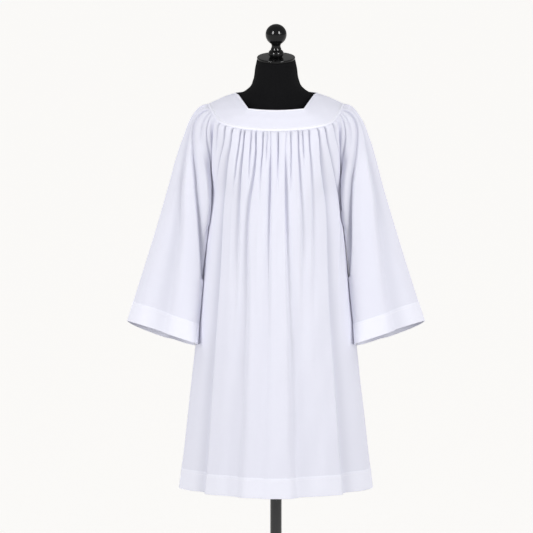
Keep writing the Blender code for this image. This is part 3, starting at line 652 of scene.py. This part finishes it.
def lacquerFinish():
    made = Finish("blackLacquer", (0.006, 0.006, 0.0065), Roughness=0.1, IOR=1.32)
    place = made.objectPlace()
    cloudy = made.noise(place, 40, 3)
    orangePeel = made.noise(place, 420, 1)
    made.feed("Base Color", made.tint((0.005, 0.005, 0.0055), (0.009, 0.009, 0.0095), cloudy))
    made.feed("Roughness", cloudy * 0.08 + 0.10)
    made.feed("Normal", made.bump(orangePeel, 0.00004, 0.35))
    return made.material


def steelFinish():
    made = Finish(
        "blackSteel",
        (0.020, 0.020, 0.021),
        Roughness=0.42,
        Metallic=0.0,
        Coat_Weight=0.2,
        Coat_Roughness=0.35,
    )
    place = made.objectPlace()
    grain = made.noise(place, 1300, 2)
    cloudy = made.noise(place, 12, 4)
    made.feed("Base Color", made.tint((0.015, 0.015, 0.016), (0.028, 0.028, 0.029), cloudy))
    made.feed("Roughness", grain * 0.16 + 0.34)
    made.feed("Normal", made.bump(grain, 0.00006, 0.7))
    return made.material


finishes = {
    "cotton": cottonFinish("whiteCotton", cotton["light"], cotton["shade"], 1.0, cotton["paintedFoldShade"]),
    "band": cottonFinish("doubleCotton", cotton["bandLight"], cotton["bandShade"], 0.45, cotton["paintedFoldShade"]),
    "yoke": cottonFinish("yokeCotton", cotton["light"], cotton["yokeShade"], 0.4, cotton["rim"]),
    "thread": Finish("sewingThread", (0.90, 0.90, 0.94), Roughness=0.6).material,
    "jersey": jerseyFinish(),
    "lacquer": lacquerFinish(),
    "steel": steelFinish(),
}
print("materials made:", ", ".join(finishes))


def settle(made, mesh, finish, replaced):
    mesh.materials.append(finish)
    mesh.shade_smooth()
    bpy.context.scene.collection.objects.link(made)
    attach(made, "root")
    if replaced:
        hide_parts(*replaced)
    return made


def gridLengths(grid, axis):
    # mean distance along the rows or columns of a grid, from its first point on
    steps = np.linalg.norm(np.diff(grid, axis=axis), axis=2).mean(axis=1 - axis)
    return np.concatenate([[0], np.cumsum(steps)])


def roundEdges(made, width, segments, angle):
    edge = made.modifiers.new("roundedEdge", "BEVEL")
    edge.width = width
    edge.segments = segments
    edge.limit_method = "ANGLE"
    edge.angle_limit = math.radians(angle)
    edge.harden_normals = True


def sheetObject(name, grid, shade, thickness, finish, replaced, welded=False):
    # a thin shell through a grid of points, rows down and columns across, thickened inwards
    rows, columns = grid.shape[:2]
    sheet = bmesh.new()
    bmesh.ops.create_grid(sheet, x_segments=columns - 1, y_segments=rows - 1, size=0.5)
    mesh = bpy.data.meshes.new(name)
    sheet.to_mesh(mesh)
    sheet.free()
    mesh.vertices.foreach_set("co", grid[::-1].reshape(-1))
    across, along = np.meshgrid(gridLengths(grid, 1), -gridLengths(grid, 0))
    corners = np.empty(len(mesh.loops), int)
    mesh.loops.foreach_get("vertex_index", corners)
    places = np.stack([across, along], axis=-1)[::-1].reshape(-1, 2)[corners]
    mesh.uv_layers.new(name="clothMetres").data.foreach_set("uv", places.reshape(-1))
    # the marks attribute holds painted shade in the folds, and on the yoke a painted highlight along its
    # edges
    marks = mesh.attributes.new("marks", "FLOAT", "POINT")
    marks.data.foreach_set("value", shade[::-1].reshape(-1))
    if welded:
        sheet = bmesh.new()
        sheet.from_mesh(mesh)
        bmesh.ops.remove_doubles(sheet, verts=sheet.verts, dist=1e-6)
        sheet.to_mesh(mesh)
        sheet.free()
    made = bpy.data.objects.new(name, mesh)
    wall = made.modifiers.new("wall", "SOLIDIFY")
    wall.thickness = thickness
    wall.offset = -1
    roundEdges(made, thickness * 0.4, 2, 60)
    return settle(made, mesh, finish, replaced)


stitching = {
    "pitch": 0.0030,
    "length": 0.0023,
    "radius": 0.00030,
    "sides": 6,
    "stand": 0.0001,
    # along one stitch: the share of its half length, its thickness, and how high it stands
    "rings": ((-1, 0.35, -0.9), (-0.72, 0.85, -0.1), (0, 1, 0.25), (0.72, 0.85, -0.1), (1, 0.35, -0.9)),
}


def stitchRow(name, line, normals):
    # a row of small sewn stitches along a line on the cloth
    path = line + normals * stitching["stand"]
    steps = np.linalg.norm(np.diff(path, axis=0), axis=1)
    run = np.concatenate([[0], np.cumsum(steps)])
    count = int(run[-1] / stitching["pitch"])
    middles = (np.arange(count) + 0.5) * run[-1] / count
    half = stitching["length"] / 2
    along = pointsAlong(middles + half, run, path) - pointsAlong(middles - half, run, path)
    along /= np.linalg.norm(along, axis=1, keepdims=True)
    up = pointsAlong(middles, run, normals)
    up -= along * (up * along).sum(axis=1, keepdims=True)
    up /= np.linalg.norm(up, axis=1, keepdims=True)
    axes = np.stack([along, np.cross(along, up), up], axis=1)
    sides, radius = stitching["sides"], stitching["radius"]
    template = []
    for share, thick, high in stitching["rings"]:
        for angle in np.linspace(0, 2 * math.pi, sides, endpoint=False):
            out = (math.cos(angle) * thick * radius, (math.sin(angle) * thick + high) * radius)
            template.append((share * half, *out))
    centre = pointsAlong(middles, run, path)
    points = centre[:, None, :] + np.einsum("kj,njc->nkc", np.array(template), axes)
    last = len(template) - sides
    faces = []
    for low in range(0, last, sides):
        for side in range(sides):
            after = (side + 1) % sides
            faces.append((low + side, low + after, low + sides + after, low + sides + side))
    faces += [tuple(range(sides))[::-1], tuple(range(last, last + sides))]
    whole = []
    for index in range(count):
        first = index * len(template)
        whole += [tuple(first + corner for corner in face) for face in faces]
    mesh = bpy.data.meshes.new(name)
    mesh.from_pydata(points.reshape(-1, 3).tolist(), [], whole)
    made = bpy.data.objects.new(name, mesh)
    pieces[name] = settle(made, mesh, finishes["thread"], None)


# front and back panels with their hem bands
body = {
    "columns": 280,
    "rows": 150,
    "crowd": 0.62,  # how much the rows crowd together near the yoke
    "bandRows": 14,
    "length": 0.87,
}
bodyLift = table(
    "down lift under",
    (0, 0, 0),
    (0.004, 0.0042, 0),
    (0.012, 0.0072, 0),
    (0.03, 0.0084, 0),
    (0.06, 0.0090, 0.001),
    (0.2, 0.0104, 0.003),
    (0.5, 0.0112, 0.003),
    (1.06, 0.0122, 0.003),
)
bodyCalm = table(
    "down width tuck",
    (0, 0.006, 1),
    (0.03, 0.008, 1),
    (0.10, 0.014, 1),
    (0.22, 0.040, 1),
    (1.06, 0.055, 1),
)
bandProfile = table("share out", (0, 0.2), (0.08, 0.9), (0.16, 0.75), (0.9, 1.1), (1, 1))
pieces = {}
edges = {}  # the panels' edges, which the sleeves are sewn to


def proudBand(cloth, columns, first, last, count):
    # the doubled band at an edge, a little proud of the cloth that it is sewn to
    rows = np.linspace(first, last, count)
    band, normal, shade = raisedGrid(cloth, columns, rows)
    out = garment["bandProud"] * readTable(bandProfile, (rows - first) / (last - first))["out"]
    return band + normal * (out[:, None] + garment["bandStand"])[..., None], normal, shade


def sewPair(name, bandName, replaced, grid, shade, band, welded=False):
    # one sheet of cloth with its band, and the stitches along the band's upper edge
    rows, normal, bandShade = band
    pieces[name] = sheetObject(name, grid, shade, garment["cloth"], finishes["cotton"], replaced[:1], welded)
    thick, finish = garment["doubleCloth"], finishes["band"]
    pieces[bandName] = sheetObject(bandName, rows, bandShade, thick, finish, replaced[1:], welded)
    stitchRow(bandName + "Stitches", rows[2], normal[2])


def makeBody(side):
    cloth = {
        "base": lambda across, down: bodyBase(side, across, down),
        "side": 1 if side == "front" else -1,
        "folds": bodyFolds[side],
        "levels": bodyLevels,
        "measure": lambda flat: flat[..., 0] * 1000,
        "seed": 3 if side == "front" else 11,
        "length": body["length"],
        "lift": bodyLift,
        "overhang": 0.75,
        # how strongly painted shade darkens the folds
        "paintedShadeStrength": 0.25,
        "calm": bodyCalm,
    }
    # columns crowd towards the middle at the yoke, so they are spread by distance, not angle
    even = np.linspace(-1, 1, body["columns"])
    columns = even * 0.62 + 0.38 * np.arcsin(even) * 2 / math.pi
    rows = rowsDown(0, garment["hemDown"] + garment["bandTuck"], body["rows"], body["crowd"])
    grid, _, shade = raisedGrid(cloth, columns, rows)
    band = proudBand(cloth, columns, garment["hemDown"], garment["hemEnd"], body["bandRows"])
    edges[side] = (rows, grid[:, -1].copy())
    if side == "back":
        grid, shade, *band = (part[:, ::-1] for part in (grid, shade, *band))
    sewPair(side + "Panel", side + "Hem", [side + "_panel", "hem_" + side], grid, shade, band)


makeBody("front")
makeBody("back")
print("front and back gathered and hemmed")

# sleeves with their cuff bands
sleeve = {
    "columns": 220,
    "rows": 120,
    "crowd": 0.55,
    "bandRows": 14,
    "length": 0.55,
    "layTurns": 3,
    "layReach": 0.02,
    "edgeStand": 0.0004,  # metres between a sewn edge and the panel's edge
    "edgePull": 0.007,  # metres over which the cloth follows its edge
    "edgeFade": 0.04,
    "sewnStrip": 0.004,  # metres beside a seam that aren't laid on the panels
    "looseOver": 0.006,
    "hangingOver": 0.05,
    "layFrom": 0.06,  # share of the way down
}
sleeveLift = table(
    "down lift under",
    (0, 0, 0),
    (0.006, 0.0016, 0),
    (0.02, 0.0040, 0),
    (0.06, 0.0066, 0.001),
    (0.12, 0.0078, 0.004),
    (0.4, 0.0066, 0.010),
    (1.1, 0.0050, 0.006),
)
sleeveCalm = table(
    "down width tuck",
    (0, 0.007, 1),
    (0.05, 0.015, 1),
    (0.20, 0.013, 1),
    (0.33, 0.008, 1),
    (0.36, 0.012, 0),
    (0.45, 0.024, 0),
    (1.1, 0.024, 0),
)


def fromTopLine(flat):
    # millimetres sideways from the top line of a sleeve, negative in front
    middle = flat.shape[1] // 2
    fromTop = (flat[:, middle : middle + 1, 0] - flat[..., 0]) * 1000
    fromTop[:, :middle] *= -1
    return np.maximum.accumulate(fromTop, axis=1)


def sewnToPanels(grid, rows):
    # down to the underarm both edges of a sleeve are drawn to the edges of the panels
    bodyRows = np.minimum(rows / garment["sleeveUnderarmDown"], 1) * garment["underarmDown"]
    fading = 1 - smoothStep((rows - garment["sleeveUnderarmDown"]) / sleeve["edgeFade"])
    grid = grid.copy()
    for panel, column in (("front", 0), ("back", -1)):
        target = pointsAlong(bodyRows, *edges[panel])
        gap = (target + (sleeve["edgeStand"], 0, 0) - grid[:, column]) * fading[:, None]
        away = np.linalg.norm(grid - grid[:, column : column + 1 or None], axis=2)
        grid += gap[:, None] * bell(away, sleeve["edgePull"])[..., None]
    return grid


def panelSurface():
    # the outer faces of both panels, to lay the sleeves on
    corners, faces = [], []
    for name in ("frontPanel", "backPanel"):
        start = len(corners)
        corners += [vertex.co.copy() for vertex in pieces[name].data.vertices]
        faces += [[start + corner for corner in face.vertices] for face in pieces[name].data.polygons]
    return BVHTree.FromPolygons(corners, faces)


panels = panelSurface()


def awayFromSeam(grid, rows):
    # 0 where a sleeve is sewn to the panels and 1 where it only hangs beside them
    fromFront = np.linalg.norm(grid - grid[:, :1], axis=2)
    fromBack = np.linalg.norm(grid - grid[:, -1:], axis=2)
    loose = smoothStep((np.minimum(fromFront, fromBack) - sleeve["sewnStrip"]) / sleeve["looseOver"])
    hanging = smoothStep((rows - garment["sleeveUnderarmDown"]) / sleeve["hangingOver"])[:, None]
    return np.maximum(loose, hanging) * smoothStep((rows - sleeve["layFrom"]) / 0.06)[:, None]


def laidOnPanels(grid, share, clearance):
    # a sleeve lies on the panels where the two meet, and nowhere reaches inside them
    grid = grid.copy()
    for _ in range(sleeve["layTurns"]):
        for row, column in np.argwhere(share > 0):
            place = Vector(grid[row, column])
            near, normal, _, distance = panels.find_nearest(place, sleeve["layReach"])
            if near is None:
                continue
            height = (place - near).dot(normal)
            if height < 0 or distance < clearance:
                grid[row, column] += np.array(normal) * (clearance - height) * share[row, column]
    return grid


def makeSleeve(side):
    cloth = {
        "base": sleeveBase,
        "side": 1,
        "folds": sleeveFolds[side],
        "levels": sleeveLevels,
        "measure": fromTopLine,
        "seed": 21 if side == "left" else 34,
        "length": sleeve["length"],
        "lift": sleeveLift,
        "overhang": 0.6,
        # how strongly painted shade darkens the folds
        "paintedShadeStrength": 0.6,
        "calm": sleeveCalm,
    }
    columns = np.linspace(0, 1, sleeve["columns"])
    rows = rowsDown(0, 1 + garment["bandTuck"], sleeve["rows"], sleeve["crowd"])
    grid, _, shade = raisedGrid(cloth, columns, rows)
    band, bandNormal, bandShade = proudBand(cloth, columns, 1, garment["cuffEnd"], sleeve["bandRows"])
    band[:, -1] = band[:, 0] = (band[:, 0] + band[:, -1]) / 2
    grid = sewnToPanels(grid, rows)
    closed = rows > garment["sleeveUnderarmDown"]
    grid[closed, -1] = grid[closed, 0]
    if side == "right":
        grid, band, bandNormal = (part[:, ::-1] * (-1, 1, 1) for part in (grid, band, bandNormal))
        shade, bandShade = shade[:, ::-1], bandShade[:, ::-1]
    clearance = garment["sleeveClearance"]
    grid = laidOnPanels(grid, awayFromSeam(grid, rows), clearance + garment["bandProud"])
    band = laidOnPanels(band, np.ones(band.shape[:2]), clearance)
    replaced = ["sleeve_" + side, "cuff_hem_" + side]
    band = (band, bandNormal, bandShade)
    sewPair(side + "Sleeve", side + "Cuff", replaced, grid, shade, band, welded=True)


makeSleeve("left")
makeSleeve("right")
print("sleeves gathered and hemmed")

# yoke: double cloth from the square neck to the round seam, in a front and a back half
neckLines = {
    "front": table(
        "share x y z",
        (0.00, -0.0985, 0, 1.4978),
        (0.06, -0.0915, -0.0165, 1.4955),
        (0.27, -0.0670, -0.0740, 1.4680),
        (0.34, -0.0466, -0.0771, 1.4663),
        (0.42, -0.0233, -0.0793, 1.4651),
        (0.50, 0, -0.0800, 1.4647),
        (0.58, 0.0233, -0.0793, 1.4651),
        (0.66, 0.0466, -0.0771, 1.4663),
        (0.73, 0.0670, -0.0740, 1.4680),
        (0.94, 0.0915, -0.0165, 1.4955),
        (1.00, 0.0985, 0, 1.4978),
    ),
    "back": table(
        "share x y z",
        (0.00, -0.0985, 0, 1.4978),
        (0.27, -0.0680, 0.0640, 1.4950),
        (0.50, 0, 0.0690, 1.4960),
        (0.73, 0.0680, 0.0640, 1.4950),
        (1.00, 0.0985, 0, 1.4978),
    ),
}
yoke = {
    "columns": 180,
    "rounding": 0.0025,
    "proud": 0.0005,
    # width of the painted highlight along the yoke's edges
    "rimHighlightWidth": 0.0042,
    "stitchIn": 0.0048,  # how far in from each edge the topstitching runs
    "swell": 0.0009,
    "sink": 0.0004,
    "overhang": (0.0008, 0.0015, 0.0020),
    "overhangOut": (0.0009, 0.0005, -0.0004),
    # how far the closely spaced rows are from each edge, and how many rows share the rest
    "closeRows": (0, 0.0006, 0.0014, 0.0022, 0.0030, 0.0038, 0.0044, 0.0050, 0.0058, 0.0070),
    "wideRows": 16,
    "smoothSpan": 30,  # columns to each side
    "smoothWidth": 11.0,
    "swellAt": 0.0022,
    "swellWidth": 0.0017,
    "sinkWidth": 0.0008,
    "uneven": 0.0004,
}


def yokeSeam(side, down):
    # the round seam at this share of the way down, from the right shoulder to the left one
    over = np.linspace(0, 0.5, 24) if side == "front" else np.linspace(1, 0.5, 24)
    left = sleeveBase(over, np.full(24, down * 1.6))
    panel = bodyBase(side, np.linspace(-1, 1, 120), np.full(120, down))
    return np.vstack([(left * (-1, 1, 1))[::-1], panel[1:-1], left])


def makeYoke(side):
    seam = yokeSeam(side, 0.0)
    under = yokeSeam(side, 0.003)
    steps = np.linalg.norm(np.diff(seam, axis=0), axis=1)
    shares = np.concatenate([[0], np.cumsum(steps)]) / steps.sum()
    run = np.unique(np.concatenate([np.linspace(0, 1, yoke["columns"]), (0.27, 0.73)]))
    neck = neckLines[side]
    inner = pointsAlong(run, neck["share"], columnsOf(neck, "x y z"))
    outer = pointsAlong(run, shares, seam)
    wide = np.linalg.norm(outer - inner, axis=1)
    close = [distance / wide for distance in yoke["closeRows"]]
    strip = yoke["closeRows"][-1]
    between = np.linspace(0, 1, yoke["wideRows"])[1:-1]
    rows = [(strip + (wide - 2 * strip) * share) / wide for share in between]
    share = np.array([*close, *rows, *(1 - distance for distance in close[::-1])])
    grid = inner + (outer - inner) * share[..., None]
    grid[..., 2] += yoke["rounding"] * 4 * share * (1 - share)
    # away from its edges the yoke is one smooth surface, with no fold below the neck's corners
    span = yoke["smoothSpan"]
    reach = bell(np.arange(-span, span + 1), yoke["smoothWidth"])
    reach /= reach.sum()
    before = 2 * grid[:, :1] - grid[:, span:0:-1]
    after = 2 * grid[:, -1:] - grid[:, -2 : -span - 2 : -1]
    padded = np.concatenate([before, grid, after], axis=1)
    smooth = np.empty_like(grid)
    for row, axis in np.ndindex(len(grid), 3):
        smooth[row, :, axis] = np.convolve(padded[row, :, axis], reach, "valid")
    mix = (smoothStep(share / 0.3) * smoothStep((1 - share) / 0.2))[..., None]
    grid = grid + (smooth - grid) * mix
    way = pointsAlong(run, shares, under) - outer
    way /= np.linalg.norm(way, axis=1, keepdims=True)
    overhang = np.array([outer + way * distance for distance in yoke["overhang"]])
    grid = np.concatenate([grid, overhang])
    normal = np.cross(np.gradient(grid, axis=0), np.gradient(grid, axis=1))
    normal /= np.linalg.norm(normal, axis=-1, keepdims=True)
    if side == "back":
        normal = -normal
    apart = np.minimum(share, 1 - share) * wide
    out = yoke["proud"] + yoke["swell"] * bell(apart - yoke["swellAt"], yoke["swellWidth"])
    out -= yoke["sink"] * bell(apart - yoke["stitchIn"], yoke["sinkWidth"])
    waves = ripple(run[None, :] * 40, share * 9, 4 if side == "front" else 9)
    out += yoke["uneven"] * waves * smoothStep(apart / 0.01)
    tail = np.repeat(np.array(yoke["overhangOut"])[:, None], len(run), axis=1)
    grid = grid + normal * np.concatenate([out, tail])[..., None]
    # painted highlight: the yoke's colour is lightened along its turned edges, most at the middle of the
    # front and the back and less towards the shoulders
    rim = 1 - smoothStep((apart - yoke["rimHighlightWidth"]) / 0.0012)
    rim = np.concatenate([rim, np.ones((len(tail), len(run)))])
    rim = rim * (0.15 + 0.6 * smoothStep(1.6 - 4 * abs(run - 0.5)))
    if side == "back":
        grid, normal, rim = grid[:, ::-1], normal[:, ::-1], rim[:, ::-1]
    name = side + "Yoke"
    pieces[name] = sheetObject(name, grid, rim, garment["doubleCloth"], finishes["yoke"], ["yoke_" + side])
    stitchRow(name + "NeckStitches", grid[6], normal[6])
    seamRow = len(share) - 8
    stitchRow(name + "SeamStitches", grid[seamRow], normal[seamRow])


makeYoke("front")
makeYoke("back")
print("yoke sewn over the gathers")

# the limbless dress form: padded torso, neck cap and finial, pole and base
form = {
    "neckTop": 1.5805,
    "capTilt": 9,  # degrees, leaning to the front
    "capRadius": 0.0465,
    "capThickness": 0.006,
    "capLip": 0.002,
    "chamfer": 0.001,  # under the cap and the base
    "tiltFrom": 1.56,  # height where the torso starts to lean with the cap
    "tiltOver": 0.02,
    "grooveDepth": 0.0007,
    "grooveWidth": 0.05,
    "partGap": 0.0003,
    "torsoBottom": 0.8,
    "torsoSteps": 128,
    "torsoRows": 130,
    "ballRadius": 0.0258,
    "ballHeight": 0.0555,
    "ballEnd": -50,  # degrees, where the waist under the ball begins
    "poleRadius": 0.014,
    "baseRadius": 0.2,
    "baseThickness": 0.012,
    # turned profiles as radius and height, then the flange as out from the pole and up from the
    # base, and the base's rim as in and down from its upper edge
    "waist": ((0.0133, 0.0330), (0.0112, 0.0290), (0.0111, 0.0252), (0.0132, 0.0185)),
    "bead": ((0.0120, 0.0172), (0.0165, 0.0142), (0.0187, 0.0085), (0.0170, 0.0032), (0.0140, 0)),
    "flange": ((0, 0.030), (0.006, 0.0287), (0.0115, 0.0262), (0.0135, 0.020)),
    "rim": ((0.006, 0.0008), (0.002, 0.003), (0, 0.006)),
}
torsoRings = table(
    "z halfWidth front back ridge",
    (1.5805, 0.0465, 0.0470, 0.0470, 1.00),
    (1.5600, 0.0510, 0.0540, 0.0520, 1.00),
    (1.5300, 0.0560, 0.0590, 0.0560, 1.00),
    (1.5130, 0.0640, 0.0610, 0.0590, 1.08),
    (1.5010, 0.0800, 0.0620, 0.0600, 1.25),
    (1.4925, 0.0990, 0.0625, 0.0610, 1.50),
    (1.4820, 0.1240, 0.0630, 0.0630, 1.60),
    (1.4715, 0.1450, 0.0650, 0.0670, 1.55),
    (1.4600, 0.1540, 0.0690, 0.0730, 1.35),
    (1.4430, 0.1570, 0.0770, 0.0820, 1.12),
    (1.4180, 0.1590, 0.0880, 0.0930, 1.00),
    (1.3850, 0.1570, 0.1040, 0.1030, 1.00),
    (1.3300, 0.1500, 0.1180, 0.1090, 1.00),
    (1.2700, 0.1450, 0.1220, 0.1100, 1.00),
    (1.2000, 0.1420, 0.1180, 0.1050, 1.00),
    (1.1000, 0.1330, 0.1080, 0.0960, 1.00),
    (1.0200, 0.1300, 0.1030, 0.0940, 1.00),
    (0.9200, 0.1440, 0.1080, 0.1060, 1.00),
    (0.8400, 0.1520, 0.1120, 0.1120, 1.00),
    (0.8000, 0.1500, 0.1100, 0.1100, 1.00),
)


def makeTorso():
    down = {name: values[::-1] for name, values in torsoRings.items()}
    t = np.linspace(0, 1, form["torsoRows"])
    heights = form["neckTop"] - (form["neckTop"] - form["torsoBottom"]) * (t * 0.55 + 0.45 * t**2)
    at = readTable(down, heights)
    turn = np.linspace(-math.pi / 2, 1.5 * math.pi, form["torsoSteps"] + 1)
    cosine, sine = np.cos(turn)[None, :], np.sin(turn)[None, :]
    ridge = at["ridge"][:, None]
    depth = np.where(sine < 0, at["front"][:, None], at["back"][:, None])
    x = np.sign(cosine) * abs(cosine) ** ridge * at["halfWidth"][:, None]
    y = np.sign(sine) * abs(sine) ** ridge * depth
    leaning = smoothStep((heights[:, None] - form["tiltFrom"]) / form["tiltOver"])
    tilt = leaning * math.tan(math.radians(form["capTilt"]))
    z = heights[:, None] + y * tilt
    # the cover is sewn from panels: shallow grooves run down the middles and the sides
    groove = bell(np.sin(turn * 2), form["grooveWidth"])[None, :] * form["grooveDepth"]
    shrink = 1 - groove / np.hypot(x, y)
    grid = np.stack([x * shrink, y * shrink, z], axis=-1)
    grid[:, -1] = grid[:, 0]
    rows, columns = grid.shape[:2]
    cover = bmesh.new()
    layer = cover.loops.layers.uv.new("clothMetres")
    rings = [[cover.verts.new(point) for point in row[:-1]] for row in grid]
    across, along = gridLengths(grid, 1), -gridLengths(grid, 0)
    for row in range(rows - 1):
        for column in range(columns - 1):
            after = (column + 1) % (columns - 1)
            corners = [(row, column), (row + 1, column), (row + 1, after), (row, after)]
            face = cover.faces.new([rings[r][c] for r, c in corners])
            places = [(row, column), (row + 1, column), (row + 1, column + 1), (row, column + 1)]
            for loop, (r, c) in zip(face.loops, places):
                loop[layer].uv = (across[c], along[r])
    cover.faces.new(rings[0])
    cover.faces.new(rings[-1][::-1])
    mesh = bpy.data.meshes.new("torso")
    bmesh.ops.recalc_face_normals(cover, faces=cover.faces)
    cover.to_mesh(mesh)
    cover.free()
    made = bpy.data.objects.new("torso", mesh)
    roundEdges(made, 0.002, 3, 50)
    pieces["torso"] = settle(made, mesh, finishes["jersey"], ["form_torso"])


def turned(name, profile, steps, finish, replaced):
    # a turned piece from its profile of radius and height, listed from the top down
    mesh = bpy.data.meshes.new(name)
    edges = [(i, i + 1) for i in range(len(profile) - 1)]
    mesh.from_pydata([(max(radius, 0), 0, height) for radius, height in profile], edges, [])
    made = bpy.data.objects.new(name, mesh)
    screw = made.modifiers.new("turn", "SCREW")
    screw.steps = screw.render_steps = steps
    screw.use_merge_vertices = True
    screw.merge_threshold = 1e-5
    screw.use_smooth_shade = True
    screw.use_normal_calculate = True
    roundEdges(made, 0.0005, 3, 35)
    pieces[name] = settle(made, mesh, finish, replaced)
    return pieces[name]


def smoothProfile(points, count):
    places = np.arange(len(points))
    return [tuple(point) for point in curveThrough(places, points, np.linspace(0, len(points) - 1, count))]


def makeStand():
    tilt = math.radians(form["capTilt"])
    radius, thick, lip, chamfer = form["capRadius"], form["capThickness"], form["capLip"], form["chamfer"]
    capProfile = [(0, thick), (radius * 0.5, thick), (radius - lip, thick)]
    for angle in np.radians(np.linspace(80, 0, 6)):
        capProfile.append((radius - lip + lip * math.cos(angle), thick - lip + lip * math.sin(angle)))
    capProfile += [(radius, chamfer), (radius - chamfer, 0), (0, 0)]
    cap = turned("neckCap", capProfile, 96, finishes["lacquer"], ["form_neck_cap"])
    cap.rotation_euler.x = tilt
    cap.location = (0, 0, form["neckTop"] + form["partGap"])
    ball, middle = form["ballRadius"], form["ballHeight"]
    profile = []
    for angle in np.radians(np.linspace(90, form["ballEnd"], 40)):
        profile.append((ball * math.cos(angle), middle + ball * math.sin(angle)))
    profile[0] = (0, profile[0][1])
    profile += smoothProfile([profile[-1], *form["waist"]], 14)[1:]
    profile += smoothProfile(form["bead"], 16) + [(0, 0)]
    finial = turned("finial", profile, 80, finishes["lacquer"], ["form_finial"])
    lift = thick + form["partGap"]
    finial.rotation_euler.x = tilt
    finial.location = (0, -lift * math.sin(tilt), form["neckTop"] + form["partGap"] + lift * math.cos(tilt))
    poleTop = form["torsoBottom"] - form["partGap"]
    foot, poleRadius = form["baseThickness"], form["poleRadius"]
    profile = [(0, poleTop), (poleRadius, poleTop)]
    profile += [(poleRadius + out, foot + up) for out, up in smoothProfile(form["flange"], 10)]
    profile += [(poleRadius + 0.014, foot + form["partGap"]), (0, foot + form["partGap"])]
    turned("pole", profile, 64, finishes["steel"], ["form_pole"])
    radius = form["baseRadius"]
    profile = [(0, foot), (radius * 0.5, foot), (radius - 0.010, foot)]
    profile += smoothProfile([(radius - inward, foot - down) for inward, down in form["rim"]], 8)
    profile += [(radius, chamfer), (radius - chamfer, 0), (0, 0)]
    turned("base", profile, 128, finishes["steel"], ["form_base"])


makeTorso()
makeStand()
print("dress form built")

light = {
    "sky": 0.45,
    "skyInGloss": 0.3,  # the black parts mirror a darker room
    "floorSize": 80,
    "floorGlow": 0.55,  # a lit white sweep rather than a grey floor
    "aim": (0, 0, 1.05),
    "distance": 4.0,
    "boxSize": (1.4, 2.4),
}
floorMesh = bpy.data.meshes.new("floor")
half = light["floorSize"] / 2
corners = [(-half, -half, 0), (half, -half, 0), (half, half, 0), (-half, half, 0)]
floorMesh.from_pydata(corners, [], [(0, 1, 2, 3)])
floor = bpy.data.objects.new("floor", floorMesh)
bpy.context.scene.collection.objects.link(floor)
pale = Finish("paleFloor", (0.93, 0.922, 0.905), Roughness=0.9, Emission_Strength=light["floorGlow"])
pale.shader.inputs["Emission Color"].default_value = (1, 0.99, 0.975, 1)
grit = pale.noise(pale.objectPlace(), 3, 3)
pale.feed("Roughness", grit * 0.1 + 0.85)
floorMesh.materials.append(pale.material)
floor.visible_diffuse = False  # the sky alone lights the cloth from below

sky = bpy.data.worlds.new("sky")
sky.use_nodes = True
bpy.context.scene.world = sky
tree = sky.node_tree
background = tree.nodes["Background"]
background.inputs["Color"].default_value = (1, 0.996, 0.99, 1)
paths = tree.nodes.new("ShaderNodeLightPath")
dim = tree.nodes.new("ShaderNodeMapRange")
dim.inputs["To Min"].default_value = light["sky"]
dim.inputs["To Max"].default_value = light["skyInGloss"]
tree.links.new(paths.outputs["Is Glossy Ray"], dim.inputs["Value"])
tree.links.new(dim.outputs["Result"], background.inputs["Strength"])

# each lamp's degrees round from the camera, degrees up, size in metres and power
lamps = {
    "cameraBox": (0, 12, light["boxSize"], 14),
    "frontBox": (52, 12, light["boxSize"], 76.5),
    "topBox": (75, 58, light["boxSize"], 9),
    "backBox": (155, 16, light["boxSize"], 48),
    "highlight": (37, 31, (1.0, 1.7), 150),
}


def makeLamp(name, side, reaches):
    turn, up, size, power = lamps[name]
    lamp = bpy.data.lights.new(name, "AREA")
    lamp.shape = "RECTANGLE"
    lamp.size, lamp.size_y = size
    lamp.energy = power
    made = bpy.data.objects.new(name, lamp)
    made.visible_camera = False
    made.visible_glossy = reaches == shiny
    made.visible_diffuse = reaches == worn
    made.light_linking.receiver_collection = reaches
    bpy.context.scene.collection.objects.link(made)
    turn, up = math.radians(turn * side), math.radians(up)
    way = Vector((math.sin(turn) * math.cos(up), -math.cos(turn) * math.cos(up), math.sin(up)))
    made.location = Vector(light["aim"]) + way * light["distance"]
    made.rotation_euler = way.to_track_quat("Z", "Y").to_euler()


worn = bpy.data.collections.new("lampsReach")
for piece in pieces.values():
    worn.objects.link(piece)
shiny = bpy.data.collections.new("highlightsReach")  # the highlights show on the lacquer only
shiny.objects.link(pieces["finial"])
shiny.objects.link(pieces["neckCap"])
makeLamp("cameraBox", 1, worn)
for side in (-1, 1):
    for name in ("frontBox", "topBox", "backBox"):
        makeLamp(name, side, worn)
    makeLamp("highlight", side, shiny)
print("lit")
